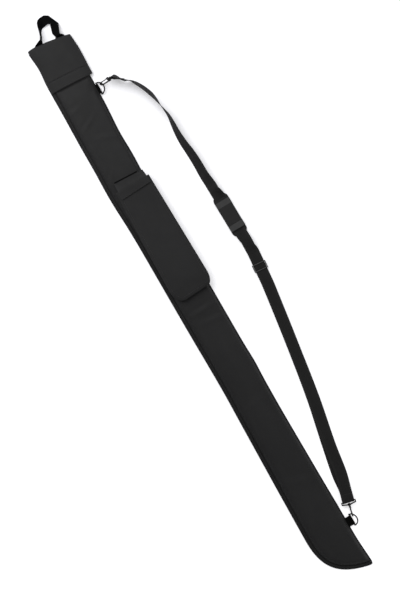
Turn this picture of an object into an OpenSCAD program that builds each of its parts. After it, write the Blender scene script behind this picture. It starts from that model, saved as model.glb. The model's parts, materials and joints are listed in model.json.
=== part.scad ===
// Long soft shoulder case with a fold-over lid, a front pocket and a clip-on shoulder strap.
// The case lies on its back: X runs across it towards the strap, Y along it towards the lid, Z up.

/* [Case] */
// Length of the case, from the fold of the lid to the toe
case_len = 1900; // [1500:10:2200]
// Width of the case at its mouth, bindings included
case_w = 131; // [110:1:180]
// How far the edge away from the strap swells towards the toe
toe_flare = 6; // [0:1:15]
// Length of the rounded toe, measured along the case
toe_len = 160; // [100:5:220]
// How much further the toe reaches on the strap side than in its middle
toe_slant = 24; // [10:1:40]
// Thickness of the fabric of the back
back_t = 2; // [1.5:0.1:3]
// Thickness of the fabric of the front
front_t = 1.5; // [1:0.1:3]
// Thickness of the foam in the front and in the back
foam_t = 2.5; // [1.5:0.5:4]
// Rise of the front over the back at the mouth
mouth_rise = 11; // [10:0.5:16]
// Rise of the front over the back along the case
case_rise = 15; // [12:0.5:24]
// Width of the flat seam between the front and the back
seam_w = 8; // [5:0.5:12]
// Width of the sloping flank inside the seam
flank_w = 12; // [8:0.5:20]
// Width of the binding tape round the seam
binding_w = 2.5; // [1.5:0.5:5]
// Height of the binding tape round the seam
binding_h = 5.5; // [4:0.5:8]

/* [Lid] */
// Length of the lid over the front
lid_len = 147; // [100:1:220]
// Thickness of the lid
lid_t = 2; // [1.5:0.1:4]
// How far the lid overhangs the case on the strap side
lid_over = 10.5; // [2:0.5:16]
// How far the sides of the lid drop
lid_drop = 9; // [4:0.5:11]
// Width of the fastening tapes
tape_w = 25; // [16:1:40]
// Length of the fastening tape under the lid
tape_len = 80; // [40:1:84]
// Thickness of one fastening tape
tape_t = 1.2; // [0.8:0.1:2]

/* [Pocket] */
// Distance of the pocket's mouth from the lid's fold
pocket_from_top = 513; // [300:1:800]
// Length of the pocket
pocket_len = 392; // [200:1:500]
// Distance of the pocket's edge from the centre line, away from the strap
pocket_in = 49; // [46:1:60]
// Distance of the pocket's edge from the centre line, on the strap side
pocket_out = 75; // [60:1:80]
// Height of the pocket's side wall
gusset_h = 13; // [8:0.5:24]
// Thickness of the pocket's fabric
pocket_t = 2; // [1:0.1:3]
// Corner radius at the pocket's closed end
pocket_r = 34; // [10:1:38]
// How far the pocket's flap covers the pocket
flap_cover = 26; // [18:1:60]
// Distance from the pocket's mouth to the flap's seam
flap_gap = 26; // [22:1:50]
// Width of the pocket's flap
flap_w = 102; // [60:1:110]

/* [Carry handle] */
// Width of the carry handle's webbing
handle_w = 30; // [20:1:36]
// Length of each end of the handle sewn under the back
handle_tail = 30; // [15:1:60]
// Distance of the handle's first end from the centre line
handle_left = 27; // [24:1:40]
// Distance of the handle's second end from the centre line
handle_right = 46; // [40:1:48]
// Height of the handle's loop above the lid's fold
handle_reach = 62; // [50:1:90]

/* [Shoulder strap] */
// Width of the strap's webbing
strap_w = 38; // [30:1:40]
// Thickness of one layer of webbing
web_t = 1.6; // [1.2:0.1:1.8]
// Distance of the upper ring from the lid's fold
upper_ring_from_top = 204; // [180:1:300]
// Distance of the lower ring from the toe
lower_ring_from_toe = 148; // [120:1:300]
// How far the strap lies out from the edge of the case, at its slider
strap_reach = 164; // [120:1:200]
// Distance of the shoulder pad's middle from the middle of the case
pad_y = 205; // [150:1:260]
// Distance of the strap's slider from the middle of the case
slider_y = 20; // [-20:1:40]

/* [Rings and tabs] */
// Width between the arms of a ring
ring_in = 34; // [30:1:40]
// Thickness of a ring's wire
ring_wire = 4; // [3:0.1:4.2]
// Width of the webbing tab that holds a ring
tab_w = 31; // [20:1:33]
// Distance of the upper ring's bar from the edge of the case
upper_bar_out = 5.5; // [5:0.5:10]
// Distance of the lower ring's bar from the edge of the case
lower_bar_out = 17.5; // [10:0.5:24]

/* [Hooks] */
// Thickness of a hook's stem and bow
hook_wire = 4.2; // [3.4:0.1:4.6]
// Width inside a hook's bow
hook_in = 10; // [9.5:0.1:12]
// Length of a hook's gate opening
hook_len = 23; // [20:0.5:26]
// Radius of the pin that a gate turns on
gate_pin_r = 0.8; // [0.6:0.05:1]
// Radius of a hook's swivel stem
swivel_r = 2.6; // [2:0.1:3]
// Width of the eye for the webbing
eye_in = 39.6; // [39:0.1:44]
// Thickness of the eye's wire
eye_wire = 3.8; // [3:0.1:4.5]

/* [Shoulder pad] */
// Length of the pad
pad_len = 144; // [130:1:170]
// Width of the pad
pad_w = 50; // [47:1:60]
// Radius of the pad's corners
pad_corner = 18; // [8:1:22]
// Height of the pad under the strap
pad_h = 6; // [4:0.5:6]
// Width of each band over the strap
pad_band = 19; // [10:1:24]
// Thickness of the bands and of the cover between them
pad_skin = 2.2; // [1.5:0.1:4]
// Length of the cover between the bands
pad_cover_len = 62; // [30:1:70]

/* [Slider] */
// Length of the slider along the strap
slider_len = 25; // [20:1:30]
// Thickness of the slider's bars
slider_bar = 2.4; // [2:0.1:2.5]
// Width of the slider's side rails
slider_rail = 2.4; // [2:0.1:4]

/* [Hidden] */

$fn = 48;
// Gap between pieces that move on each other
gap = 0.3;
y_top = case_len / 2;
y_toe = -case_len / 2;
edge_x = case_w / 2;
// The fabric stops inside the binding
in_x = edge_x - binding_w;
// Thickness of the lid's fold along the case
fold_t = 2;
back_y = y_top - fold_t - 0.4;
mouth_y = back_y - 2;
front_z = back_t + front_t;
mouth_top = front_z + mouth_rise;
case_top = front_z + case_rise;
flat_x = in_x - seam_w - flank_w;

function unit(v) = v / norm(v);
function lerp(a, b, f) = a + (b - a) * f;
function flat(v) = [v[0], v[1], 0];

// Outline of the toe: a cubic from the straight edge to the corner on the strap side
toe_y0 = y_toe + toe_len;
toe_p = [[-in_x - toe_flare, toe_y0],
  [-in_x - toe_flare, toe_y0 - toe_len * 0.65],
  [-in_x * 0.24, y_toe + toe_slant],
  [in_x, y_toe + binding_w]];
function bez(p, f) = p[0] * pow(1 - f, 3) + 3 * p[1] * f * pow(1 - f, 2)
  + 3 * p[2] * f * f * (1 - f) + p[3] * pow(f, 3);
toe_steps = 12;

// Stations along the case: distance along it, left edge and rise of the front
ramp_len = 80;
ramp_y = y_top - lid_len - ramp_len;
flare_y = lerp(0, toe_y0, 0.35);
stations = concat(
  [[mouth_y, -in_x, mouth_rise],
   [y_top - lid_len - 6, -in_x, mouth_rise],
   [ramp_y, -in_x, case_rise],
   [flare_y, -in_x, case_rise],
   [lerp(flare_y, toe_y0, 0.5), -in_x - toe_flare * 0.5, case_rise]],
  [for (i = [0:toe_steps]) let (f = i / toe_steps * 0.985, p = bez(toe_p, f))
    [p[1], p[0], case_rise * pow(max(0.02, min(1, (in_x - p[0]) / (2 * in_x))), 0.8)]]);
case_outline = concat(
  [for (s = stations) [s[1], s[0]]],
  [[in_x, y_toe + binding_w], [in_x, mouth_y]]);

// One section of the front: points across it and their share of the rise
function across(s) = let (w = in_x - s[1], m = min(seam_w, w * 0.12), k = min(flank_w, w * 0.22))
  [[s[1], 0], [s[1] + m, 0], [s[1] + m + k * 0.45, 0.7], [s[1] + m + k, 1],
   [in_x - m - k, 1], [in_x - m - k * 0.45, 0.7], [in_x - m, 0], [in_x, 0]];

// A slab between two grids of points, both given as rows from the lid to the toe
module slab(top, low) {
  n = len(top) - 1;
  m = len(top[0]) - 1;
  half = (n + 1) * (m + 1);
  t = function(i, j) i * (m + 1) + j;
  b = function(i, j) half + i * (m + 1) + j;
  quads = concat(
    [for (i = [0:n - 1]) for (j = [0:m - 1]) [t(i, j), t(i, j + 1), t(i + 1, j + 1), t(i + 1, j)]],
    [for (i = [0:n - 1]) for (j = [0:m - 1]) [b(i, j), b(i + 1, j), b(i + 1, j + 1), b(i, j + 1)]],
    [for (i = [0:n - 1]) [t(i, 0), t(i + 1, 0), b(i + 1, 0), b(i, 0)]],
    [for (i = [0:n - 1]) [t(i + 1, m), t(i, m), b(i, m), b(i + 1, m)]],
    [for (j = [0:m - 1]) [t(0, j + 1), t(0, j), b(0, j), b(0, j + 1)]],
    [for (j = [0:m - 1]) [t(n, j), t(n, j + 1), b(n, j + 1), b(n, j)]]);
  polyhedron(
    points = concat([for (r = top) each r], [for (r = low) each r]),
    faces = [for (q = quads) each [[q[0], q[1], q[2]], [q[0], q[2], q[3]]]],
    convexity = 6);
}

// A chain of four-cornered rings, closed at both ends. Opposite sides are split along the same
// diagonal, so that the two faces of a twisted webbing keep their distance.
module chain(rings) {
  n = len(rings) - 1;
  polyhedron(
    points = [for (r = rings) each r],
    faces = concat(
      [[0, 1, 2], [0, 2, 3]],
      [for (i = [0:n - 1]) for (j = [0:3]) let (a = 4 * i + j, d = 4 * i + (j + 1) % 4)
        each (j < 2 ? [[a, a + 4, d + 4], [a, d + 4, d]] : [[a, a + 4, d], [d, a + 4, d + 4]])],
      [[4 * n + 3, 4 * n + 2, 4 * n + 1], [4 * n + 3, 4 * n + 1, 4 * n]]),
    convexity = 8);
}

// Webbing along stations of a middle point, a direction across it and, where it differs, a share of
// the width
module webbing(st, w, t) {
  n = len(st) - 1;
  chain([for (i = [0:n]) let (
      c = st[i][0],
      a = unit(st[i][1]) * w / 2 * (len(st[i]) > 2 ? st[i][2] : 1),
      along = unit(st[min(i + 1, n)][0] - st[max(i - 1, 0)][0]),
      h = unit(cross(along, a)) * t / 2)
    [c - a - h, c + a - h, c + a + h, c - a + h]]);
}

module rod(p, q, r) {
  d = q - p;
  translate(p)
    rotate([0, acos(d[2] / norm(d)), atan2(d[1], d[0])])
      cylinder(r = r, h = norm(d));
}

module frame(at, ax, ay) {
  y = unit(ay);
  x = unit(ax - (ax * y) * y);
  z = cross(x, y);
  multmatrix([[x[0], y[0], z[0], at[0]], [x[1], y[1], z[1], at[1]], [x[2], y[2], z[2], at[2]]])
    children();
}

// Case
module case_shape() {
  polygon(case_outline);
}

module back_panel() {
  color("#2b2b2d") difference() {
    linear_extrude(back_t) union() {
      case_shape();
      translate([-in_x, mouth_y - 1])
        square([2 * in_x, back_y - mouth_y + 1]);
    }
    for (x = [-handle_left, handle_right])
      translate([x - handle_w / 2 - gap, back_y - handle_tail - gap, -1])
        cube([handle_w + 2 * gap, handle_tail + 10, back_t + 2]);
  }
}

// Last station of the mouth and first station of the toe
mouth_end = 2;
toe_start = 5;
// Points of a section where the flat top begins and ends
top_first = 3;
top_last = 4;

// The front's cloth between some stations and some points of their sections
module front_cloth(rows, columns) {
  color("#333335") slab(
    [for (i = rows) let (s = stations[i]) [for (j = columns) let (p = across(s)[j])
      [p[0], s[0], front_z + s[2] * p[1]]]],
    [for (i = rows) let (s = stations[i]) [for (j = columns) let (p = across(s)[j])
      [p[0], s[0], back_t + s[2] * p[1]]]]);
}

module front_panel() {
  front_cloth([mouth_end:toe_start], [top_first:top_last]);
}

module front_mouth() {
  front_cloth([0:mouth_end], [top_first:top_last]);
}

module front_left_side() {
  front_cloth([0:toe_start], [0:top_first]);
}

module front_right_side() {
  front_cloth([0:toe_start], [top_last:len(across(stations[0])) - 1]);
}

module front_toe() {
  front_cloth([toe_start:len(stations) - 1], [0:len(across(stations[0])) - 1]);
}

foam_x = flat_x;

module back_padding() {
  color("#3c3c40") translate([0, 0, back_t]) linear_extrude(foam_t)
    polygon([[-foam_x, mouth_y], [-foam_x, toe_y0], [foam_x, toe_y0], [foam_x, mouth_y]]);
}

// Foam under the front's cloth between some stations
module front_foam(rows) {
  color("#3c3c40") slab(
    [for (i = rows) let (s = stations[i]) [for (x = [-foam_x, foam_x]) [x, s[0], back_t + s[2]]]],
    [for (i = rows) let (s = stations[i]) [for (x = [-foam_x, foam_x]) [x, s[0], back_t + s[2] - foam_t]]]);
}

module front_padding() {
  front_foam([mouth_end:toe_start]);
}

module mouth_padding() {
  front_foam([0:mouth_end]);
}

module edge_binding() {
  color("#1d1d1f") linear_extrude(binding_h) difference() {
    offset(delta = binding_w) case_shape();
    case_shape();
    translate([-case_w, mouth_y])
      square([2 * case_w, case_w]);
  }
}

tape_y = y_top - lid_len + 3;

module lid_loop_tape() {
  color("#161617") translate([-tape_len / 2, tape_y, mouth_top])
    cube([tape_len, tape_w, tape_t]);
}

// Lid
lid_z = mouth_top + 2 * tape_t + gap;
lid_top = lid_z + lid_t;
fold_axis_z = back_t;
lid_flat = flat_x + 3;

module lid_section() {
  side_t = lid_t * 1.1;
  polygon([[-edge_x, lid_z - lid_drop], [-lid_flat, lid_z], [lid_flat, lid_z],
    [edge_x + lid_over, lid_z - lid_drop], [edge_x + lid_over, lid_z - lid_drop + side_t],
    [lid_flat + 0.5, lid_top], [-lid_flat - 0.5, lid_top], [-edge_x, lid_z - lid_drop + side_t]]);
}

module lid_flap() {
  color("#38383a") translate([0, y_top, 0]) rotate([90, 0, 0])
    linear_extrude(lid_len) lid_section();
}

module lid_fold() {
  low = back_t + gap;
  color("#38383a") translate([0, y_top, 0]) rotate([90, 0, 0]) linear_extrude(fold_t)
    polygon([[-edge_x + 2, low], [edge_x, low], [edge_x, lid_z - lid_drop - gap],
      [lid_flat, lid_z - gap], [-lid_flat, lid_z - gap], [-edge_x + 2, lid_z - lid_drop]]);
}

module lid_hook_tape() {
  color("#161617") translate([-tape_len / 2, tape_y, lid_z - tape_t])
    cube([tape_len, tape_w, tape_t]);
}

// Pocket
pocket_y1 = y_top - pocket_from_top;
pocket_y0 = pocket_y1 - pocket_len;
pocket_z = case_top + gusset_h;
pocket_foot = flat_x - 1;

// A path down one side of the pocket, round its closed end and up the other
function pocket_path(xl, xr, yb, r) = concat(
  [[xl, pocket_y1]],
  [for (i = [0:6]) [xl + r - r * cos(i * 15), yb + r - r * sin(i * 15)]],
  [for (i = [0:6]) [xr - r + r * sin(i * 15), yb + r - r * cos(i * 15)]],
  [[xr, pocket_y1]]);

module pocket_gusset() {
  foot_r = min(pocket_r, 26);
  foot = pocket_path(-pocket_foot, pocket_foot, pocket_y0 + 8, foot_r);
  foot_in = pocket_path(-pocket_foot + pocket_t, pocket_foot - pocket_t,
    pocket_y0 + 8 + pocket_t, foot_r - pocket_t);
  head = pocket_path(-pocket_in, pocket_out, pocket_y0, pocket_r);
  head_in = pocket_path(-pocket_in + pocket_t, pocket_out - 2 * pocket_t,
    pocket_y0 + pocket_t, pocket_r - pocket_t);
  color("#303032") chain([for (i = [0:len(foot) - 1]) [
    [foot[i][0], foot[i][1], case_top], [foot_in[i][0], foot_in[i][1], case_top],
    [head_in[i][0], head_in[i][1], pocket_z], [head[i][0], head[i][1], pocket_z]]]);
}

module pocket_front() {
  color("#38383a") translate([0, 0, pocket_z]) linear_extrude(pocket_t)
    polygon(pocket_path(-pocket_in, pocket_out, pocket_y0, pocket_r));
}

flap_x = (pocket_out - pocket_in) / 2;
flap_tape_w = min(tape_w, flap_cover - 8);
flap_tape_len = flap_w - 22;
flap_tape_y = pocket_y1 - flap_cover + 3;
pocket_top = pocket_z + pocket_t;
flap_z = pocket_top + 2 * tape_t + gap;
flap_t = 1.8;
flap_root_t = 1.3 * flap_t;
flap_root_z = case_top + gap;
flap_hinge_y = pocket_y1 + flap_gap;
// The flap turns on the upper edge of its seam
flap_hinge_z = flap_root_z + flap_root_t;

module pocket_loop_tape() {
  color("#161617") translate([flap_x - flap_tape_len / 2, flap_tape_y, pocket_top])
    cube([flap_tape_len, flap_tape_w, tape_t]);
}

module pocket_flap() {
  color("#38383a") translate([flap_x - flap_w / 2, 0, 0]) rotate([90, 0, 90]) linear_extrude(flap_w)
    polygon([[flap_hinge_y, flap_root_z], [pocket_y1 + 4, flap_z],
      [pocket_y1 - flap_cover, flap_z], [pocket_y1 - flap_cover, flap_z + flap_t],
      [pocket_y1 + 4.6, flap_z + flap_t], [flap_hinge_y, flap_hinge_z]]);
}

module pocket_hook_tape() {
  color("#161617") translate([flap_x - flap_tape_len / 2, flap_tape_y, flap_z - tape_t])
    cube([flap_tape_len, flap_tape_w, tape_t]);
}

// Carry handle: middle points and directions across, from the first sewn end to the second. The
// columns are the share of the way from one end to the other, the share of the loop's height, the
// height off the ground in shares of half the width, the direction across and the share of the
// width, which grows where the webbing is folded over at a slant.
handle_z = web_t / 2 + 0.05;
crease = [0.55, -0.835, 0];
crease_w = 1.35;
handle_rows = [
  [0, 0.03, 0, [1, 0, 0], 1],
  [0.075, 0.1, 0.69, [0.7, 0.1, -0.7], 1],
  [0.205, 0.19, 0.96, [0.05, 0, -1], 1],
  [0.285, 0.34, 0.97, [0, 0, -1], 1],
  [0.36, 0.6, 0.97, [0, 0, -1], 1],
  [0.425, 0.81, 0.87, [0.35, -0.35, -0.87], 1],
  [0.56, 0.942, 0.6, [0.3, -0.85, -0.43], 1],
  [0.75, 0.974, 0.47, [0, -1, 0], 1],
  [1.011, 0.86, 0.44, crease, crease_w],
  [1.034, 0.877, 0.367, crease, crease_w],
  [1.011, 0.86, 0.293, crease, crease_w],
  [1.007, 0.5, 0.227, [1, -0.05, 0], 1],
  [0.993, 0.25, 0.08, [1, 0, 0], 1],
  [1, 0.03, 0, [1, 0, 0], 1]];
handle_st = concat(
  [[[-handle_left, back_y - handle_tail, handle_z], [1, 0, 0], 1]],
  [for (r = handle_rows) [[lerp(-handle_left, handle_right, r[0]), y_top + 0.6 + handle_reach * r[1],
    handle_z + handle_w / 2 * r[2]], r[3], r[4]]],
  [[[handle_right, back_y - handle_tail, handle_z], [1, 0, 0], 1]]);

module carry_handle() {
  color("#121213") webbing(handle_st, handle_w, web_t);
}

// Rings and tabs: both bars lie on one line, the axis that the strap swings on
ring_r = ring_wire / 2;
ring_bow = ring_in / 2 + ring_r;
tab_loop = ring_r + gap + web_t;
ring_z = tab_loop + 0.15;
upper_ring = [edge_x + upper_bar_out, y_top - upper_ring_from_top, ring_z];
lower_ring = [edge_x + lower_bar_out, y_toe + lower_ring_from_toe, ring_z];
bar_slant = atan2(lower_ring[0] - upper_ring[0], upper_ring[1] - lower_ring[1]);

module ring_tab(at, out) {
  difference() {
    union() {
      translate([edge_x, at[1] - tab_w / 2, ring_z - web_t])
        cube([out, tab_w, 2 * web_t]);
      translate(at) rotate([0, 0, bar_slant]) rotate([90, 0, 0])
        cylinder(r = tab_loop, h = tab_w, center = true);
    }
    translate(at) rotate([0, 0, bar_slant]) rotate([90, 0, 0])
      cylinder(r = ring_r + gap, h = tab_w + 10, center = true);
    translate([edge_x - 20, at[1] - tab_w, -1])
      cube([20, 2 * tab_w, 20]);
  }
}

module d_ring(at, tilt) {
  translate(at) rotate([0, 0, bar_slant]) rotate([0, -tilt, 0]) {
    rotate([0, 0, -90]) rotate_extrude(angle = 180)
      translate([ring_bow, 0]) circle(r = ring_r);
    rotate([90, 0, 0])
      cylinder(r = ring_r, h = 2 * ring_bow, center = true);
    for (s = [-1, 1])
      translate([0, s * ring_bow, 0]) sphere(r = ring_r);
  }
}

module upper_ring_tab() {
  color("#18181a") ring_tab(upper_ring, upper_bar_out);
}

module lower_ring_tab() {
  color("#18181a") ring_tab(lower_ring, lower_bar_out);
}

// Place round a ring where its hook sits, and the height of the hook there
upper_at = 24;
upper_tilt = 25;
lower_at = 55;
hook_r = hook_wire / 2;
bow_r = hook_in / 2 + hook_r;
lower_hook_z = bow_r + hook_r + 0.3;
lower_tilt = asin((lower_hook_z - ring_z) / (ring_bow * cos(lower_at)));
function ring_point(at, a, tilt) = at + [ring_bow * cos(a) * cos(tilt), ring_bow * sin(a),
  ring_bow * cos(a) * sin(tilt)];

module upper_d_ring() {
  color("#5a5a5e") d_ring(upper_ring, upper_tilt);
}

module lower_d_ring() {
  color("#5a5a5e") d_ring(lower_ring, lower_tilt);
}

// Hooks: in a hook's own frame Y runs from its bow to its eye, and its gate is on the X side
upper_axis = unit([0.95, 0, 0.31]);
lower_axis = unit([0.22, 0.975, 0]);
// Room that a ring's wire needs inside a hook's bow, more where it passes through at a slant
upper_slack = 1.33;
lower_slack = 1.48;
bow_seat = hook_in / 2 - ring_r;
upper_hook_at = ring_point(upper_ring, upper_at, upper_tilt) + (bow_seat - upper_slack) * upper_axis;
lower_hook_at = ring_point(lower_ring, lower_at, lower_tilt) + (bow_seat - lower_slack) * lower_axis;
upper_hook_x = [-0.273, 0.469, 0.837];
lower_hook_x = [0, 0, 1];
head_t = 5;
head_w = bow_r + 2.7;
nose_len = 3;
gate_y = hook_len - 0.4;
stem_gap = 0.2;
pin_gap = 0.08;
boss_y = hook_len + 4 + stem_gap;
boss_len = 4.4;
cap_len = 2;
eye_r = eye_wire / 2;
eye_y = boss_y + boss_len + stem_gap + cap_len + 5.6;

module hook_body() {
  difference() {
    union() {
      rotate([0, 0, 180]) rotate_extrude(angle = 180)
        translate([bow_r, 0]) circle(r = hook_r);
      translate([-bow_r, 0, 0]) rotate([-90, 0, 0])
        cylinder(r = hook_r, h = hook_len);
      translate([bow_r, 0, 0]) rotate([-90, 0, 0])
        cylinder(r = hook_r, h = nose_len);
      translate([-bow_r - hook_r, hook_len - 3, -head_t / 2])
        cube([bow_r + hook_r + head_w, 7, head_t]);
      translate([0, hook_len + 3, 0]) rotate([-90, 0, 0])
        cylinder(r = swivel_r, h = boss_y + boss_len + stem_gap - hook_len - 2);
      translate([0, boss_y + boss_len + stem_gap, 0]) rotate([-90, 0, 0])
        cylinder(r = swivel_r + 1.4, h = cap_len);
    }
    translate([bow_r - 2.9, hook_len - 4, -1.2])
      cube([10, 6.5, 2.4]);
    translate([bow_r, gate_y, -head_t])
      cylinder(r = gate_pin_r, h = 2 * head_t);
  }
}

module hook_gate_pin() {
  translate([bow_r, gate_y, -head_t / 2])
    cylinder(r = gate_pin_r, h = head_t);
}

module hook_gate() {
  difference() {
    union() {
      translate([bow_r, gate_y, -1])
        cylinder(r = 2.2, h = 2);
      translate([bow_r - 1.2, nose_len + gap, -1])
        cube([2.4, gate_y - nose_len - gap, 2]);
    }
    translate([bow_r, gate_y, -2])
      cylinder(r = gate_pin_r + pin_gap, h = 4);
  }
}

// One side of the eye: an arm out from the boss and a leg down to the end of the bar
module eye_side(s) {
  half = eye_in / 2 + eye_r;
  leg = eye_r * 0.85;
  knee_y = eye_y - turn_r - web_t / 2 - eye_r - 0.5;
  polygon([[s * 2, boss_y + 0.4], [s * (half + leg), knee_y - leg], [s * (half + leg), eye_y],
    [s * (half - leg), eye_y], [s * (half - leg), knee_y + leg], [s * 2, boss_y + boss_len - 0.2]]);
  translate([s * half, eye_y]) circle(r = leg);
}

module hook_eye() {
  half = eye_in / 2 + eye_r;
  difference() {
    union() {
      translate([0, boss_y, 0]) rotate([-90, 0, 0])
        cylinder(r = swivel_r + 2.8, h = boss_len);
      for (s = [-1, 1])
        translate([0, 0, -eye_r * 0.9]) linear_extrude(eye_r * 1.8) eye_side(s);
      rod([-half, eye_y, 0], [half, eye_y, 0], eye_r);
    }
    translate([0, boss_y - 1, 0]) rotate([-90, 0, 0])
      cylinder(r = swivel_r + stem_gap, h = boss_len + 2);
    translate([0, boss_y + boss_len, 0]) rotate([-90, 0, 0])
      cylinder(r = swivel_r + 2.2, h = cap_len + 1);
  }
}

module upper_frame() {
  frame(upper_hook_at, upper_hook_x, upper_axis) children();
}

module lower_frame() {
  frame(lower_hook_at, lower_hook_x, lower_axis) children();
}

module upper_hook() {
  color("#3a3a3c") upper_frame() hook_body();
}

module upper_gate_pin() {
  color("#77777a") upper_frame() hook_gate_pin();
}

module upper_gate() {
  color("#4a4a4d") upper_frame() hook_gate();
}

module lower_hook() {
  color("#3a3a3c") lower_frame() hook_body();
}

module lower_gate_pin() {
  color("#77777a") lower_frame() hook_gate_pin();
}

module lower_gate() {
  color("#4a4a4d") lower_frame() hook_gate();
}

// Strap: its ends turn round the bars of the two eyes
upper_bar = upper_hook_at + eye_y * upper_axis;
lower_bar = lower_hook_at + eye_y * lower_axis;
upper_run = unit([0.73, -0.68, 0.1]);
lower_run = unit([0.26, 0.966, 0]);
upper_across = unit(cross(upper_axis, upper_run));
lower_across = unit(cross([0, 0, 1], lower_axis));
upper_side = unit(cross(upper_run, upper_across));
turn_r = eye_r + 0.35 + web_t / 2;
layer = web_t + gap;

module upper_hook_eye() {
  color("#3a3a3c") frame(upper_hook_at, upper_across, upper_axis) hook_eye();
}

module lower_hook_eye() {
  color("#3a3a3c") frame(lower_hook_at, -lower_across, lower_axis) hook_eye();
}

// Heights of the strap's layers on the ground, in the slider and in the pad
low_z = gap + web_t / 2;
two_z = low_z + layer;
bar_r = slider_bar / 2;
slider_foot = 0.65;
slide_z = slider_foot + slider_bar + gap + web_t / 2;
pad_z = gap + pad_h + 0.4 + web_t / 2;

// The straight stretches through the pad and the slider
pad_lean = 0.02;
pad_dir = unit([-pad_lean, 1, 0]);
slider_dir = unit([0.0875, 1, 0]);
strap_in = 1.5;
pad_at = [edge_x + strap_reach - strap_in, pad_y, 0];
slider_at = [edge_x + strap_reach - strap_in, slider_y, 0];
function up(z) = [0, 0, z];
pad_play = 19;
pad_level = pad_len / 2 + pad_play;
slider_play = 36;
slider_level = slider_len / 2 + slider_play;
pad_hi = pad_at + pad_dir * pad_level;
slider_hi = slider_at + slider_dir * slider_level;
slider_lo = slider_at - slider_dir * slider_level;

// The strap between them, rolled up at its outer side
between_roll = 26;
between = (pad_at - pad_dir * pad_level + slider_hi) / 2
  + up(strap_w / 2 * sin(between_roll) + web_t);

// Upper run: shares of the strap's reach from the edge, of the way from the pad up to the upper
// ring and of half the strap's width above the ground, and the roll. Lower run: shares of the reach
// and of the way down to the lower bar, and how far each layer lies out to its side.
upper_rows = [
  [0.619, 0.932, 1.22, 78], [0.684, 0.902, 1.08, 70], [0.757, 0.855, 1, 67], [0.827, 0.79, 0.98, 67],
  [0.86, 0.738, 1, 75], [0.876, 0.692, 1.03, 85], [0.896, 0.652, 1.04, 91],
  [0.915, 0.601, 1.03, 99], [0.908, 0.532, 0.99, 110], [0.897, 0.465, 0.95, 116],
  [0.902, 0.385, 0.89, 123], [0.924, 0.307, 0.82, 130], [0.936, 0.23, 0.78, 134],
  [0.938, 0.118, 0.74, 138], [0.957, 0.035, 0.62, 148]];
lower_rows = [
  [0.917, 0.086, 0], [0.776, 0.314, 0], [0.619, 0.541, 1],
  [0.424, 0.762, 2.5], [0.323, 0.895, 4]];

// Stations of the layers beside the lower bar, and how far they have come down to the ground
bar_near = 12;
bar_far = 34;
function settled(f) = (f - bar_near) / 40;

function rolled(p, q, a) = let (d = unit(flat(q - p))) [d[1] * cos(a), -d[0] * cos(a), sin(a)];
ring_reach = upper_ring[1] - pad_hi[1];
upper_pts = [for (r = upper_rows)
  [edge_x + r[0] * strap_reach, pad_hi[1] + r[1] * ring_reach, r[2] * strap_w / 2]];
upper_path = concat([upper_bar + 40 * upper_run], upper_pts, [pad_hi + up(pad_z)]);
strap_drop = slider_lo[1] - lower_bar[1];
lower_xy = [for (r = lower_rows) [edge_x + r[0] * strap_reach, slider_lo[1] - r[1] * strap_drop, 0]];

upper_tail = [for (f = [40, 26, 12]) [upper_bar + f * upper_run
  + upper_side * lerp(turn_r, layer - turn_r, min(1, f / 26)), -upper_across]];
upper_turn = [for (a = [90:30:270]) [upper_bar + turn_r * (cos(a) * upper_run
  + sin(a) * upper_side), -upper_across]];
upper_start = [for (f = [12, 26]) [upper_bar + f * upper_run - turn_r * upper_side, -upper_across]];
run_down = concat(
  [[upper_bar + 40 * upper_run - turn_r * upper_side, -upper_across]],
  [for (i = [1:len(upper_path) - 2])
    [upper_path[i], rolled(upper_path[i - 1], upper_path[i + 1], upper_rows[i - 1][3])]],
  [for (f = [1, -1]) [pad_at + pad_dir * f * pad_level + up(pad_z), [1, pad_lean, 0]]],
  [[between, [cos(between_roll), 0, sin(between_roll)]]],
  [for (p = [slider_hi, slider_lo]) [p + up(slide_z), [1, -0.05, 0]]],
  [for (i = [0:len(lower_xy) - 1]) [lower_xy[i] + [lower_rows[i][2], 0, two_z], [1, -0.1, 0]]],
  [for (f = [bar_far, bar_near]) [lower_bar + f * lower_run
    + up(lerp(turn_r, two_z + 2 - lower_bar[2], settled(f))), [1, -0.2, 0]]]);
lower_turn = [for (a = [90:-30:-90]) [lower_bar + turn_r * (-cos(a) * lower_axis + sin(a) * [0, 0, 1]),
  -lower_across]];
run_back = concat(
  [for (f = [bar_near, bar_far]) [lower_bar + f * lower_run
    - up(lerp(turn_r, lower_bar[2] - low_z - 1, settled(f))), [1, -0.2, 0]]],
  [for (i = [len(lower_xy) - 1:-1:0]) [lower_xy[i] + [-lower_rows[i][2], 0, low_z], [1, -0.1, 0]]],
  [[slider_lo + up(low_z), [1, -0.05, 0]],
   [slider_at - slider_dir * (bar_r + 1) + up(low_z), [1, -0.05, 0]]]);

module strap_webbing() {
  color("#222224") webbing(concat(upper_tail, upper_turn, upper_start, run_down, lower_turn, run_back),
    strap_w, web_t);
}

// Slider: outer bars over the webbing and the middle bar under it
slot_w = strap_w + 1.6;

module slider_frame() {
  side = slot_w / 2 + slider_rail / 2;
  low = slider_foot;
  high = slide_z + web_t / 2 + gap + slider_bar;
  color("#4d4d50") frame(slider_at, [1, 0, 0], slider_dir) {
    for (s = [-1, 1])
      translate([s * side, 0, low]) linear_extrude(high - low)
        offset(r = 1) square([slider_rail - 2, slider_len - 2], center = true);
    for (s = [-1, 1]) let (bar_y = s * (slider_len / 2 - 2))
      rod([-side, bar_y, high - bar_r], [side, bar_y, high - bar_r], bar_r);
    rod([-side, 0, low + bar_r], [side, 0, low + bar_r], bar_r);
  }
}

// The sewn end of the webbing on the slider's middle bar
sewn_end = 50;

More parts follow.
